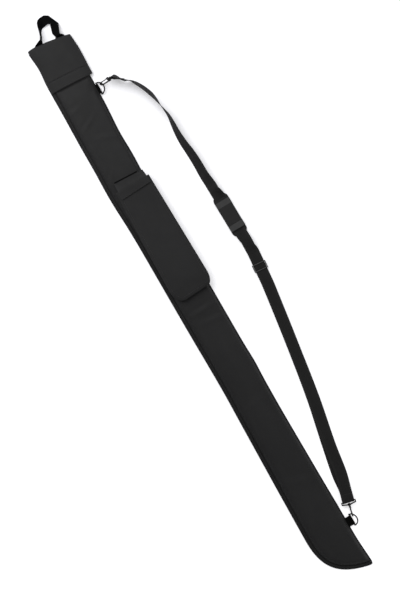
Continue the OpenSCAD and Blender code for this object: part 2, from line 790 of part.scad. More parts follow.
module slider_webbing_end() {
  low = low_z + web_t / 2 + 0.2;
  t = slide_z - web_t / 2 - 0.2 - low;
  color("#222224") frame(slider_at, [1, 0, 0], slider_dir) difference() {
    translate([-strap_w / 2 + 1, -sewn_end, low])
      cube([strap_w - 2, sewn_end, t]);
    rod([-strap_w, 0, slider_foot + bar_r], [strap_w, 0, slider_foot + bar_r], bar_r);
  }
}

// Shoulder pad: a base under the strap, and a cover and two bands over it
channel_w = strap_w + 1.6;
channel_h = web_t + 0.8;

module pad_frame() {
  frame(pad_at + up(gap), [1, 0, 0], pad_dir) children();
}

module pad_base() {
  color("#1b1b1d") pad_frame() linear_extrude(pad_h)
    offset(r = pad_corner) square([pad_w - 2 * pad_corner, pad_len - 2 * pad_corner], center = true);
}

module pad_sleeve(w, l, skin) {
  difference() {
    translate([-w / 2, -l / 2, pad_h])
      cube([w, l, channel_h + skin]);
    translate([-channel_w / 2, -l, pad_h - 1])
      cube([channel_w, 2 * l, channel_h + 1]);
  }
}

module pad_cover() {
  color("#262628") pad_frame() pad_sleeve(pad_w - 4, pad_cover_len, pad_skin);
}

band_y = pad_cover_len / 2 + pad_band / 2;

module pad_upper_band() {
  color("#404042") pad_frame() translate([0, band_y, 0])
    pad_sleeve(pad_w, pad_band, pad_skin + 0.6);
}

module pad_lower_band() {
  color("#404042") pad_frame() translate([0, -band_y, 0])
    pad_sleeve(pad_w, pad_band, pad_skin + 0.6);
}

back_panel();
front_panel();
front_mouth();
front_left_side();
front_right_side();
front_toe();
back_padding();
front_padding();
mouth_padding();
edge_binding();
lid_loop_tape();
pocket_gusset();
pocket_front();
pocket_loop_tape();
carry_handle();
upper_ring_tab();
lower_ring_tab();
lid_fold();
lid_flap();
lid_hook_tape();
pocket_flap();
pocket_hook_tape();
upper_d_ring();
lower_d_ring();
strap_webbing();
upper_hook_eye();
lower_hook_eye();
upper_hook();
upper_gate_pin();
upper_gate();
lower_hook();
lower_gate_pin();
lower_gate();
slider_frame();
slider_webbing_end();
pad_base();
pad_cover();
pad_upper_band();
pad_lower_band();
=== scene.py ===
"""Dresses a long soft shoulder case: padded shell, lid, pocket, hand loop and shoulder strap."""

from __future__ import annotations

import json
import logging
import math
from dataclasses import dataclass, field
from enum import Enum
from functools import cache
from typing import Callable, Sequence

import bmesh
import bpy
import numpy as np
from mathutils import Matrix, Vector, noise


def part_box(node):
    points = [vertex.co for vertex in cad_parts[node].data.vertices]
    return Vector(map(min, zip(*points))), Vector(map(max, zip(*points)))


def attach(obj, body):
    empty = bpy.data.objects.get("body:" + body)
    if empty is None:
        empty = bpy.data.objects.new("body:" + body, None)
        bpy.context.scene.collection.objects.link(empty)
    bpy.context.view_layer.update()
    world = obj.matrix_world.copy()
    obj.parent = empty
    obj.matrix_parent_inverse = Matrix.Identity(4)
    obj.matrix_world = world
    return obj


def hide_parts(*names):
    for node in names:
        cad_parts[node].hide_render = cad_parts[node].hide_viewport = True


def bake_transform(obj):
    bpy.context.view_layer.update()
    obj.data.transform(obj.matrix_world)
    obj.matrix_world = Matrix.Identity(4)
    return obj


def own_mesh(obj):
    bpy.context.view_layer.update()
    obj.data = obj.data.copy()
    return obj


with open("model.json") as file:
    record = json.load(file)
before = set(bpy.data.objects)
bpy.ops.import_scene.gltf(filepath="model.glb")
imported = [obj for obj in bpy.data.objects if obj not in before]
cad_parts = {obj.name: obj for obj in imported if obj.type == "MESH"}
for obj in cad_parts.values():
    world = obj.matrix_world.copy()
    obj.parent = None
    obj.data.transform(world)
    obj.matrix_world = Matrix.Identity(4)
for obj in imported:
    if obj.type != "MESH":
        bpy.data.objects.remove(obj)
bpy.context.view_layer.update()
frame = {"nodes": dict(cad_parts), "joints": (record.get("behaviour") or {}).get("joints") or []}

LOG = logging.getLogger("shoulder_case")
Array = np.ndarray
Pair = tuple[float, float]
Triple = tuple[float, float, float]
Colour = Triple
Faces = list[tuple[int, ...]]
Station = tuple[Array, Sequence[float]]
Piece = bpy.types.Object
Material = bpy.types.Material
Node = bpy.types.Node
Socket = bpy.types.NodeSocket
CLOTH_MAP = "cloth"
WORN = "worn"
UP = np.array([0.0, 0.0, 1.0])


class Slot(Enum):
    """Material slots of the part's record, passed along with the dressed pieces."""

    CASE = "case_fabric"
    FOAM = "foam"
    TAPE = "tape"
    WEBBING = "webbing"
    PAD_FOAM = "pad_foam"
    PAD_GRIP = "pad_grip"


class Pile(Enum):
    """The two halves of a fastening tape."""

    HOOKS = "hooks"
    LOOPS = "loops"


# Small sums


def unit(v: Sequence[float]) -> Array:
    """The vector v at length one."""
    a = np.asarray(v, float)
    return a / np.linalg.norm(a)


def unit_rows(vectors: Array) -> Array:
    """Vectors along the last axis, each at length one."""
    return vectors / np.maximum(np.linalg.norm(vectors, axis=-1, keepdims=True), 1e-12)


def lerp(a: Array | float, b: Array | float, f: Array | float) -> Array | float:
    """The value a share f of the way from a to b."""
    return a + (b - a) * f


def ease(x: Array | float, low: float, high: float) -> Array | float:
    """A smooth step from 0 at low to 1 at high."""
    t = np.clip((x - low) / (high - low), 0.0, 1.0)
    return t * t * (3.0 - 2.0 * t)


def lump(x: Array | float, middle: float, reach: float) -> Array | float:
    """A bell of height one round middle."""
    return np.exp(-(((x - middle) / reach) ** 2))


def bezier(corners: Array, f: Array) -> Array:
    """Points of a cubic at the shares f.

    Args:
        corners: Its four control points.
        f: Shares of the way along it.

    Returns:
        One point for each share.
    """
    g = 1.0 - f
    weights = np.stack([g**3, 3 * f * g**2, 3 * f**2 * g, f**3], axis=1)
    return weights @ corners


def lengths_along(line: Array) -> Array:
    """Distance along a line of points from its first point to each."""
    return np.concatenate([[0.0], np.cumsum(np.linalg.norm(np.diff(line, axis=0), axis=1))])


def leftwards(line: Array) -> Array:
    """Directions to the left of a line of points, seen from above."""
    along = unit_rows(np.gradient(line, axis=0))
    return np.stack([-along[:, 1], along[:, 0]], axis=1)


def closer_at_ends(count: int, blend: float) -> Array:
    """Shares from 0 to 1 that lie closer together towards both ends, the more so with a greater blend."""
    even = np.linspace(0.0, 1.0, count)
    return (1.0 - blend) * even + blend * (0.5 - 0.5 * np.cos(math.pi * even))


def level_grid(x: Array, y: Array) -> Array:
    """Rows of points on the ground, one row for each y."""
    wide, deep = np.meshgrid(x, y)
    return np.stack([wide, deep, np.zeros_like(wide)], axis=2)


def from_line(points: Array, line: Array) -> Array:
    """Distance of points from a line of points, seen from above.

    Args:
        points: Points, with x and y on their last axis.
        line: The points of the line.

    Returns:
        One distance for each point.
    """
    flat = points[..., :2].reshape(-1, 2)
    step = np.diff(line, axis=0)
    square = np.sum(step**2, axis=1)
    found = []
    for part in np.array_split(flat, max(1, len(flat) // 3000)):
        rel = part[:, None] - line[None, :-1]
        f = np.clip(np.sum(rel * step, axis=2) / square, 0.0, 1.0)
        found.append(np.sqrt(np.min(np.sum((rel - f[..., None] * step) ** 2, axis=2), axis=1)))
    return np.concatenate(found).reshape(points.shape[:-1])


def curve_through(points: Array, step: float, straight: bool) -> tuple[Array, Array]:
    """A line through points, sampled about every step.

    Args:
        points: The points that it passes through.
        step: Greatest distance between samples.
        straight: Whether it goes straight from point to point or bends smoothly.

    Returns:
        The samples, and for each its place counted in points.
    """
    gaps = np.linalg.norm(np.diff(points, axis=0), axis=1)
    slopes = np.diff(points, axis=0) / gaps[:, None]
    tangents = np.vstack([slopes[:1], slopes])
    before, after = gaps[:-1, None], gaps[1:, None]
    tangents[1:-1] = (slopes[:-1] * after + slopes[1:] * before) / (before + after)
    samples, places = [], []
    for i, gap in enumerate(gaps):
        count = max(2, math.ceil(gap / step))
        f = np.arange(count)[:, None] / count
        bend = (f**3 - 2 * f**2 + f) * gap * tangents[i] + (f**3 - f**2) * gap * tangents[i + 1]
        share = f if straight else 3 * f**2 - 2 * f**3
        samples.append(lerp(points[i], points[i + 1], share) + (0.0 if straight else bend))
        places.append(i + f[:, 0])
    samples.append(points[-1:])
    places.append(np.array([len(points) - 1.0]))
    return np.vstack(samples), np.concatenate(places)


@dataclass(frozen=True)
class Slack:
    """One layer of slack in a cloth: its height, the size of its clouds across and along, and a seed."""

    height: float
    across: float
    along: float
    seed: float

    def at(self, points: Array) -> Array:
        """How far the cloth stands off its smooth shape.

        Args:
            points: Points, with x and y on their last axis.

        Returns:
            One distance for each point, up or down.
        """
        flat = points.reshape(-1, points.shape[-1])
        values = [noise.noise(Vector((p[0] / self.across, p[1] / self.along, self.seed))) for p in flat]
        return self.height * np.array(values).reshape(points.shape[:-1])


# Node trees


def add_node(tree: bpy.types.NodeTree, kind: str, **settings: object) -> Node:
    """Adds a node to a tree.

    Args:
        tree: The tree.
        kind: The node's kind.
        settings: Its settings.

    Returns:
        The node.
    """
    node = tree.nodes.new(kind)
    for key, value in settings.items():
        setattr(node, key, value)
    return node


def preset(node: Node, **values: object) -> Node:
    """Sets inputs of a node.

    Args:
        node: The node.
        values: Values of its inputs, each named with _ for a space.

    Returns:
        The node.
    """
    for key, value in values.items():
        node.inputs[key.replace("_", " ")].default_value = value
    return node


def wire(tree: bpy.types.NodeTree, *links: tuple) -> None:
    """Joins nodes of a tree.

    Args:
        tree: The tree.
        links: For each link a node, its output, the next node and its input.
    """
    for source, output, target, entry in links:
        tree.links.new(source.outputs[output], target.inputs[entry])


class NodeBoard:
    """One material's node tree, with short calls to add and join nodes."""

    def __init__(self, name: str, shader: str = "ShaderNodeBsdfPrincipled") -> None:
        """Starts a material with one shader.

        Args:
            name: The material's name.
            shader: The kind of its last shader.
        """
        self.material = bpy.data.materials.new(name)
        self.material.use_nodes = True
        self.tree = self.material.node_tree
        self.tree.nodes.clear()
        self.shader = self.add(shader)
        wire(self.tree, (self.shader, 0, self.add("ShaderNodeOutputMaterial"), "Surface"))

    def add(self, kind: str, **settings: object) -> Node:
        """A new node of that kind, with its settings."""
        return add_node(self.tree, kind, **settings)

    def feed(self, entry: Socket, value: object) -> None:
        """Links an input to an output, or sets it to a plain value.

        Args:
            entry: The input.
            value: The output, or the value.
        """
        if isinstance(value, Socket):
            self.tree.links.new(value, entry)
        else:
            entry.default_value = value

    def math(self, operation: str, a: object, b: object = 0.0) -> Socket:
        """One sum on sockets or numbers.

        Args:
            operation: The kind of sum.
            a: Its first value.
            b: Its second value.

        Returns:
            The result.
        """
        node = self.add("ShaderNodeMath", operation=operation)
        self.feed(node.inputs[0], a)
        self.feed(node.inputs[1], b)
        return node.outputs[0]

    def noise(self, scale: float, detail: float = 2.0, stretch: Triple = (1.0, 1.0, 1.0)) -> Socket:
        """Noise on the piece's own coordinates.

        Args:
            scale: Clouds in a metre.
            detail: How many finer layers it has.
            stretch: Scale along each axis.

        Returns:
            The noise, from 0 to 1.
        """
        mapping = preset(self.add("ShaderNodeMapping"), Scale=stretch)
        node = preset(self.add("ShaderNodeTexNoise"), Scale=scale, Detail=detail)
        place = self.add("ShaderNodeTexCoord")
        wire(self.tree, (place, "Object", mapping, "Vector"), (mapping, 0, node, "Vector"))
        return node.outputs[0]

    def weave(self, across: float, along: float) -> Socket:
        """Height of a plain weave on the piece's cloth map.

        Args:
            across: Width of one thread across the cloth, in metres.
            along: Width of one thread along it.

        Returns:
            The height, from 0 to 1.
        """
        split = self.add("ShaderNodeSeparateXYZ")
        wire(self.tree, (self.add("ShaderNodeUVMap", uv_map=CLOTH_MAP), "UV", split, 0))
        warp = self.math("SINE", self.math("MULTIPLY", split.outputs["X"], math.pi / across))
        weft = self.math("SINE", self.math("MULTIPLY", split.outputs["Y"], math.pi / along))
        over = self.math("GREATER_THAN", self.math("MULTIPLY", warp, weft), 0.0)
        warp, weft = self.math("ABSOLUTE", warp), self.math("ABSOLUTE", weft)
        return self.math("ADD", weft, self.math("MULTIPLY", over, self.math("SUBTRACT", warp, weft)))

    def between(self, low: object, high: Colour, share: Socket) -> Socket:
        """A mix of two colours.

        Args:
            low: The colour at share 0, or a socket that gives it.
            high: The colour at share 1.
            share: How much of the second colour there is.

        Returns:
            The mixed colour.
        """
        node = self.add("ShaderNodeMix", data_type="RGBA")
        self.feed(node.inputs[0], share)
        tints = [s for s in node.inputs if s.type == "RGBA"]
        self.feed(tints[0], low if isinstance(low, Socket) else (*low, 1.0))
        tints[1].default_value = (*high, 1.0)
        return next(o for o in node.outputs if o.type == "RGBA")

    def ramp(self, value: Socket, start: Pair, end: Pair) -> Socket:
        """A value carried over to another range, and held within it.

        Args:
            value: The value.
            start: A first value and what it becomes.
            end: A second value and what it becomes.

        Returns:
            The new value.
        """
        node = preset(self.add("ShaderNodeMapRange"), From_Min=start[0], To_Min=start[1], From_Max=end[0],
                      To_Max=end[1])
        self.feed(node.inputs["Value"], value)
        return node.outputs[0]

    def ranged(self, value: Socket, low: float, high: float) -> Socket:
        """A value from 0 to 1 spread from low to high."""
        return self.ramp(value, (0.0, low), (1.0, high))

    def bump(self, height: Socket, depth: float, under: Socket | None = None) -> Socket:
        """A normal bumped by a height.

        Args:
            height: The height, from 0 to 1.
            depth: How deep it is, in metres.
            under: An earlier bump that it lies over.

        Returns:
            The normal.
        """
        node = preset(self.add("ShaderNodeBump"), Distance=depth)
        self.feed(node.inputs["Height"], height)
        if under is not None:
            self.feed(node.inputs["Normal"], under)
        return node.outputs[0]

    def dress(self, colour: Socket, roughness: Socket, normal: Socket, **fixed: float) -> Material:
        """Joins colour, roughness and normal to the shader and sets its fixed values.

        Args:
            colour: Socket for the base colour.
            roughness: Socket for the roughness.
            normal: Socket for the normal.
            fixed: Values for inputs of the shader, each named with _ for a space.

        Returns:
            The finished material.
        """
        for name, value in (("Base Color", colour), ("Roughness", roughness), ("Normal", normal)):
            self.feed(self.shader.inputs[name], value)
        preset(self.shader, **fixed)
        return self.material


# Finishes


def shade(colour: Colour, by: float) -> Colour:
    """A colour made lighter or darker by a factor."""
    return tuple(min(1.0, c * by) for c in colour)


@dataclass(frozen=True)
class Finish:
    """What a surface is made of. Each kind below makes its own material."""

    name: str
    colour: Colour

    def material(self) -> Material:
        """The finish's material, made once."""
        return bpy.data.materials.get(self.name) or self.make()

    def make(self) -> Material:
        """Builds the material's nodes."""
        raise NotImplementedError


@dataclass(frozen=True)
class WovenCloth(Finish):
    """Plain-woven synthetic cloth or webbing, rubbed paler along its edges."""

    across: float = 0.0007
    along: float = 0.0007
    relief: float = 0.00012
    gloss: float = 0.12
    rough: float = 0.6
    wear: float = 0.5

    def make(self) -> Material:
        """Builds weave, clouds of tone and rubbed edges.

        Returns:
            The material.
        """
        board = NodeBoard(self.name)
        threads = board.weave(self.across, self.along)
        tone = board.noise(11.0, 4.0, (1.0, 0.45, 1.0))
        slub = board.noise(900.0, 1.0, (1.0, 0.12, 1.0))
        depth = board.math("MULTIPLY", threads, board.ranged(slub, 0.55, 1.1))
        cloth = board.between(shade(self.colour, 0.72), shade(self.colour, 1.3), tone)
        edge = board.add("ShaderNodeAttribute", attribute_name=WORN).outputs["Fac"]
        rubbed = board.math("MULTIPLY", board.math("MULTIPLY", edge, self.wear), board.noise(260.0, 3.0))
        colour = board.between(cloth, shade(self.colour, 2.4), rubbed)
        rough = board.ranged(board.noise(45.0, 3.0), self.rough - 0.07, self.rough + 0.1)
        normal = board.bump(board.noise(60.0, 3.0), 0.0003)
        return board.dress(colour, rough, board.bump(depth, self.relief, normal),
                           Specular_IOR_Level=self.gloss)


@dataclass(frozen=True)
class Enamel(Finish):
    """Black enamel on metal, orange-peeled and lightly scuffed."""

    rough: float = 0.5

    def make(self) -> Material:
        """Builds the enamel's peel and scuffs.

        Returns:
            The material.
        """
        board = NodeBoard(self.name)
        scuff = board.math("GREATER_THAN", board.noise(700.0, 5.0), 0.66)
        colour = board.between(self.colour, shade(self.colour, 3.5), scuff)
        rough = board.ranged(board.noise(300.0, 3.0), self.rough - 0.08, self.rough + 0.12)
        return board.dress(colour, rough, board.bump(board.noise(1100.0, 2.0), 0.00006),
                           Specular_IOR_Level=0.2)


@dataclass(frozen=True)
class TurnedSteel(Finish):
    """Plain steel with fine turning marks."""

    def make(self) -> Material:
        """Builds the steel's marks.

        Returns:
            The material.
        """
        board = NodeBoard(self.name)
        marks = board.noise(900.0, 4.0, (1.0, 8.0, 1.0))
        colour = board.between(shade(self.colour, 0.8), shade(self.colour, 1.15), marks)
        return board.dress(colour, board.ranged(marks, 0.25, 0.45), board.bump(marks, 0.00003), Metallic=1.0)


@dataclass(frozen=True)
class MouldedPlastic(Finish):
    """Moulded plastic with a spark-eroded grain."""

    rough: float = 0.42

    def make(self) -> Material:
        """Builds the plastic's grain.

        Returns:
            The material.
        """
        board = NodeBoard(self.name)
        grain = board.noise(2200.0, 3.0)
        colour = board.between(shade(self.colour, 0.85), shade(self.colour, 1.2), board.noise(120.0, 3.0))
        rough = board.ranged(board.noise(400.0, 2.0), self.rough - 0.06, self.rough + 0.1)
        return board.dress(colour, rough, board.bump(grain, 0.00008), Specular_IOR_Level=0.5)


@dataclass(frozen=True)
class GripRubber(Finish):
    """Matt foam rubber, pebbled where it grips."""

    pebble: float = 0.0014
    relief: float = 0.0002
    rough: float = 0.72

    def make(self) -> Material:
        """Builds the rubber's pebbles and dust.

        Returns:
            The material.
        """
        board = NodeBoard(self.name)
        cells = preset(board.add("ShaderNodeTexVoronoi", feature="SMOOTH_F1"), Scale=1.0 / self.pebble)
        wire(board.tree, (board.add("ShaderNodeTexCoord"), "Object", cells, "Vector"))
        height = board.math("SUBTRACT", 1.0, cells.outputs["Distance"])
        dust = board.noise(70.0, 4.0)
        colour = board.between(shade(self.colour, 0.75), shade(self.colour, 1.3), dust)
        rough = board.ranged(dust, self.rough - 0.08, self.rough + 0.12)
        return board.dress(colour, rough, board.bump(height, self.relief), Specular_IOR_Level=0.2)


@dataclass(frozen=True)
class BrushedPile(Finish):
    """Fuzzy loop pile or the ground of a hook tape."""

    def make(self) -> Material:
        """Builds the pile's fuzz.

        Returns:
            The material.
        """
        board = NodeBoard(self.name)
        fuzz = board.noise(1500.0, 5.0)
        colour = board.between(shade(self.colour, 0.5), shade(self.colour, 1.6), fuzz)
        return board.dress(colour, board.ranged(fuzz, 0.8, 0.95), board.bump(fuzz, 0.0006), Sheen_Weight=0.12,
                           Specular_IOR_Level=0.2)


@dataclass(frozen=True)
class SewingThread(Finish):
    """Twisted sewing thread."""

    def make(self) -> Material:
        """Builds the thread's twist.

        Returns:
            The material.
        """
        board = NodeBoard(self.name)
        twist = board.noise(2600.0, 2.0, (1.0, 0.6, 1.0))
        colour = board.between(shade(self.colour, 0.7), shade(self.colour, 1.3), twist)
        return board.dress(colour, board.ranged(twist, 0.5, 0.7), board.bump(twist, 0.0001), Sheen_Weight=0.1)


@dataclass(frozen=True)
class WhiteGround(Finish):
    """Matt white ground that glows a little, more towards the toe and far from the case.

    The glow along the case and the glow by distance run between two places each, given with their strengths.
    """

    glow_from: Pair = (0.8, 0.17)
    glow_to: Pair = (-0.9, 0.56)
    far_from: Pair = (1.15, 0.0)
    far_to: Pair = (2.4, 0.5)

    def make(self) -> Material:
        """Builds the ground and its glow, which lights nothing else.

        Returns:
            The material.
        """
        board = NodeBoard(self.name, "ShaderNodeAddShader")
        place, rays = board.add("ShaderNodeTexCoord"), board.add("ShaderNodeLightPath").outputs
        split = board.add("ShaderNodeSeparateXYZ")
        reach = board.add("ShaderNodeVectorMath", operation="LENGTH")
        wire(board.tree, (place, "Object", split, 0), (place, "Object", reach, 0))
        along = board.ramp(split.outputs["Y"], self.glow_from, self.glow_to)
        far = board.ramp(reach.outputs["Value"], self.far_from, self.far_to)
        seen = board.math("MAXIMUM", rays["Is Camera Ray"], rays["Is Glossy Ray"])
        lit = preset(board.add("ShaderNodeBsdfDiffuse"), Color=(*self.colour, 1.0))
        glow = board.add("ShaderNodeEmission")
        board.feed(glow.inputs["Strength"], board.math("MULTIPLY", seen, board.math("ADD", along, far)))
        wire(board.tree, (lit, 0, board.shader, 0), (glow, 0, board.shader, 1))
        return board.material


CLOTH_BLACK = (0.0165, 0.0165, 0.0169)


class Finishes:
    """Every finish on the case, and the ground's."""

    shell = WovenCloth("black_oxford_cloth", CLOTH_BLACK)
    pocket = WovenCloth("black_pocket_cloth", CLOTH_BLACK)
    lid = WovenCloth("black_lid_cloth", CLOTH_BLACK)
    back = WovenCloth("black_back_cloth", (0.012, 0.012, 0.0123))
    binding = WovenCloth("black_binding_tape", (0.0145, 0.0145, 0.0148), across=0.0011, along=0.0008,
                         relief=0.00018, gloss=0.08, rough=0.65, wear=0.8)
    webbing = WovenCloth("black_strap_webbing", (0.0135, 0.0132, 0.0133), across=0.0017, along=0.001,
                         relief=0.00028, gloss=0.1, rough=0.7, wear=0.8)
    # This finish also makes the strip of painted shade above the pocket's flap.
    loop_webbing = WovenCloth("black_loop_webbing", (0.0028, 0.0028, 0.0029), across=0.0017, along=0.001,
                              relief=0.00028, gloss=0.03, rough=0.75)
    lining = WovenCloth("grey_lining_cloth", (0.035, 0.035, 0.037), across=0.0005, along=0.0005,
                        relief=0.00008)
    hook_tape = BrushedPile("hook_tape_ground", (0.008, 0.008, 0.0085))
    loop_tape = BrushedPile("loop_tape_pile", (0.011, 0.011, 0.0115))
    thread = SewingThread("black_thread", (0.012, 0.012, 0.0124))
    enamel = Enamel("black_enamel", (0.003, 0.003, 0.0032))
    steel = TurnedSteel("pin_steel", (0.42, 0.42, 0.43))
    plastic = MouldedPlastic("black_plastic", (0.036, 0.036, 0.0365))
    pad = GripRubber("pad_foam_rubber", (0.010, 0.010, 0.0103), pebble=0.0006, relief=0.00008, rough=0.6)
    cover = GripRubber("pad_cover_rubber", (0.0105, 0.0103, 0.0104), pebble=0.0006, relief=0.00006,
                       rough=0.55)
    band = GripRubber("pad_band_rubber", (0.034, 0.034, 0.0345), pebble=0.0016, relief=0.0003, rough=0.66)
    ground = WhiteGround("white_ground", (0.85, 0.85, 0.88))


# Meshes


def put(name: str, mesh: bpy.types.Mesh, finish: Finish) -> Piece:
    """Links a mesh into the scene with its finish.

    Args:
        name: The piece's name.
        mesh: Its mesh, in place.
        finish: What it is made of.

    Returns:
        The new object.
    """
    mesh.name = name
    mesh.materials.clear()
    mesh.materials.append(finish.material())
    piece = bpy.data.objects.new(name, mesh)
    bpy.context.scene.collection.objects.link(piece)
    return piece


def plain_mesh(piece: Piece) -> None:
    """Turns a piece's modifiers into its mesh, and removes them.

    Args:
        piece: The piece.
    """
    graph = bpy.context.evaluated_depsgraph_get()
    mesh = bpy.data.meshes.new_from_object(piece.evaluated_get(graph))
    piece.modifiers.clear()
    piece.data = mesh


def tube_faces(rings: int, count: int) -> Faces:
    """Faces round a stack of rings of points, closed at both ends.

    Args:
        rings: How many rings there are.
        count: Points in each ring.

    Returns:
        The faces, as places in the list of points.
    """
    index = np.arange(rings * count).reshape(rings, count)
    ahead = np.roll(index, -1, axis=1)
    quads = np.stack([index[:-1], ahead[:-1], ahead[1:], index[1:]], axis=2).reshape(-1, 4)
    return [tuple(q) for q in quads] + [tuple(index[0][::-1]), tuple(index[-1])]


def closed_mesh(name: str, verts: Array, faces: Faces, uv: Array, worn: Array, finish: Finish,
                rounds: int = 0, crisp: float = 50.0) -> Piece:
    """A closed mesh with its cloth map and worn edges.

    Args:
        name: The piece's name.
        verts: Its points.
        faces: Its faces.
        uv: Place of each point on the cloth, in metres.
        worn: How rubbed each point is, from 0 to 1.
        finish: What it is made of.
        rounds: Levels of subdivision that round it.
        crisp: Edges sharper than this many degrees stay sharp.

    Returns:
        The new object.
    """
    mesh = bpy.data.meshes.new(name)
    mesh.from_pydata([tuple(v) for v in verts], [], faces)
    corner = np.zeros(len(mesh.loops), np.int32)
    mesh.loops.foreach_get("vertex_index", corner)
    layer = mesh.uv_layers.new(name=CLOTH_MAP)
    layer.uv.foreach_set("vector", uv[corner].astype(np.float32).ravel())
    mesh.attributes.new(WORN, "FLOAT", "POINT").data.foreach_set("value", worn.astype(np.float32))
    work = bmesh.new()
    work.from_mesh(mesh)
    bmesh.ops.recalc_face_normals(work, faces=work.faces)
    work.to_mesh(mesh)
    work.free()
    piece = put(name, mesh, finish)
    if rounds:
        modifier = piece.modifiers.new("rounds", "SUBSURF")
        modifier.levels = modifier.render_levels = rounds
        plain_mesh(piece)
    piece.data.shade_smooth()
    piece.data.set_sharp_from_angle(angle=math.radians(crisp))
    return piece


@dataclass
class Cloth:
    """A closed sheet of even thickness. Its outer face is a grid of points."""

    name: str
    grid: Array
    thick: float
    finish: Finish
    rounds: int = 0
    worn_in: float = 0.0022

    def build(self) -> Piece:
        """Builds the sheet: outer face, inner face and the rim between them.

        Returns:
            The sheet.
        """
        rows, columns = self.grid.shape[:2]
        normal = unit_rows(np.cross(np.gradient(self.grid, axis=1), np.gradient(self.grid, axis=0)))
        verts = np.vstack([self.grid.reshape(-1, 3), (self.grid - normal * self.thick).reshape(-1, 3)])
        half = rows * columns
        index = np.arange(half).reshape(rows, columns)
        corners = [index[:-1, :-1], index[:-1, 1:], index[1:, 1:], index[1:, :-1]]
        quads = np.stack(corners, axis=2).reshape(-1, 4)
        rim = np.concatenate([index[0, :], index[1:, -1], index[-1, -2::-1], index[-2:0:-1, 0]])
        after = np.roll(rim, -1)
        walls = np.stack([after, rim, rim + half, after + half], axis=1)
        faces = [tuple(q) for q in np.vstack([quads, (quads + half)[:, ::-1], walls])]
        uv, worn = self.cloth_map(), np.exp(-self.inset() / self.worn_in)
        return closed_mesh(self.name, verts, faces, np.vstack([uv, uv]), np.concatenate([worn, worn]),
                           self.finish, self.rounds)

    def lengths(self, axis: int) -> Array:
        """Distance along the grid from its first row or column.

        Args:
            axis: 0 to count from the first row, 1 from the first column.

        Returns:
            One distance for each point.
        """
        steps = np.linalg.norm(np.diff(self.grid, axis=axis), axis=2)
        start = np.zeros_like(np.take(steps, [0], axis=axis))
        return np.cumsum(np.concatenate([start, steps], axis=axis), axis=axis)

    def cloth_map(self) -> Array:
        """Place of each point on the flat cloth."""
        return np.stack([self.lengths(1), self.lengths(0)], axis=2).reshape(-1, 2)

    def inset(self) -> Array:
        """Distance of each point from the sheet's nearest edge."""
        u, v = self.lengths(1), self.lengths(0)
        return np.minimum.reduce([u, u[:, -1:] - u, v, v[-1:, :] - v]).ravel()


@dataclass
class Ribbon:
    """Flat webbing along a line of middle points, each with a direction across it."""

    name: str
    middles: Array
    across: Array
    width: float
    thick: float
    finish: Finish
    step: float = 0.006
    shares: Array | None = None
    folded: bool = False

    def smooth(self) -> tuple[Array, Array, Array, Array]:
        """Follows the webbing from end to end.

        Returns:
            Middle points, directions across, directions out and shares of the width.
        """
        middles, places = curve_through(self.middles, self.step, self.folded)
        marks = np.arange(len(self.across))
        across = np.stack([np.interp(places, marks, self.across[:, k]) for k in range(3)], axis=1)
        along = unit_rows(np.gradient(middles, axis=0))
        if not self.folded:
            across -= along * np.sum(across * along, axis=1, keepdims=True)
        across = unit_rows(across)
        out = unit_rows(np.cross(along, across))
        wide = np.ones(len(places)) if self.shares is None else np.interp(places, marks, self.shares)
        return middles, across, out, wide

    def build(self) -> Piece:
        """Builds the webbing with rounded selvedges and sealed ends.

        Returns:
            The webbing.
        """
        middles, across, out, wide = self.smooth()
        half, lip = self.width / 2, self.thick / 2
        sides = np.array([-1.0, -0.965, -0.5, 0.0, 0.5, 0.965])
        edge = np.abs(sides) == 1.0
        ring = np.concatenate([np.stack([turn * sides * half, np.where(edge, 0.0, -turn * lip)], axis=1)
                               for turn in (1.0, -1.0)])
        side = (wide[:, None] * across)[:, None]
        verts = middles[:, None] + side * ring[None, :, :1] + out[:, None] * ring[None, :, 1:]
        length = lengths_along(middles)
        uv = np.stack(np.broadcast_arrays(ring[None, :, 0], length[:, None]), axis=2).reshape(-1, 2)
        worn = np.tile((np.abs(ring[:, 0]) / half) ** 12, len(middles))
        faces = tube_faces(len(middles), len(ring))
        return closed_mesh(self.name, verts.reshape(-1, 3), faces, uv, worn, self.finish)


# Patterns


class Pattern:
    """A Geometry Nodes tree with named inputs, which is laid on a piece and left as its plain mesh."""

    def __init__(self, name: str, **inputs: str) -> None:
        """Starts the tree with its inputs and its output.

        Args:
            name: Its name.
            inputs: Kinds of the inputs besides the geometry, each named with _ for a space.
        """
        self.tree = bpy.data.node_groups.new(name, "GeometryNodeTree")
        new_socket = self.tree.interface.new_socket
        for key, kind in {"Given": "Geometry", **inputs}.items():
            new_socket(key.replace("_", " "), in_out="INPUT", socket_type="NodeSocket" + kind)
        new_socket("Made", in_out="OUTPUT", socket_type="NodeSocketGeometry")
        self.given, self.made = self.add("NodeGroupInput"), self.add("NodeGroupOutput")

    def add(self, kind: str, **settings: object) -> Node:
        """A new node of that kind, with its settings."""
        return add_node(self.tree, kind, **settings)

    def lay(self, piece: Piece, **values: object) -> None:
        """Runs the tree on a piece and keeps the plain mesh.

        Args:
            piece: The piece, which holds what the tree starts from.
            values: Values of the tree's inputs, each named with _ for a space.
        """
        modifier = piece.modifiers.new("pattern", "NODES")
        modifier.node_group = self.tree
        for entry in self.tree.interface.items_tree:
            key = entry.name.replace(" ", "_")
            if entry.in_out == "INPUT" and key in values:
                modifier[entry.identifier] = values[key]
        plain_mesh(piece)


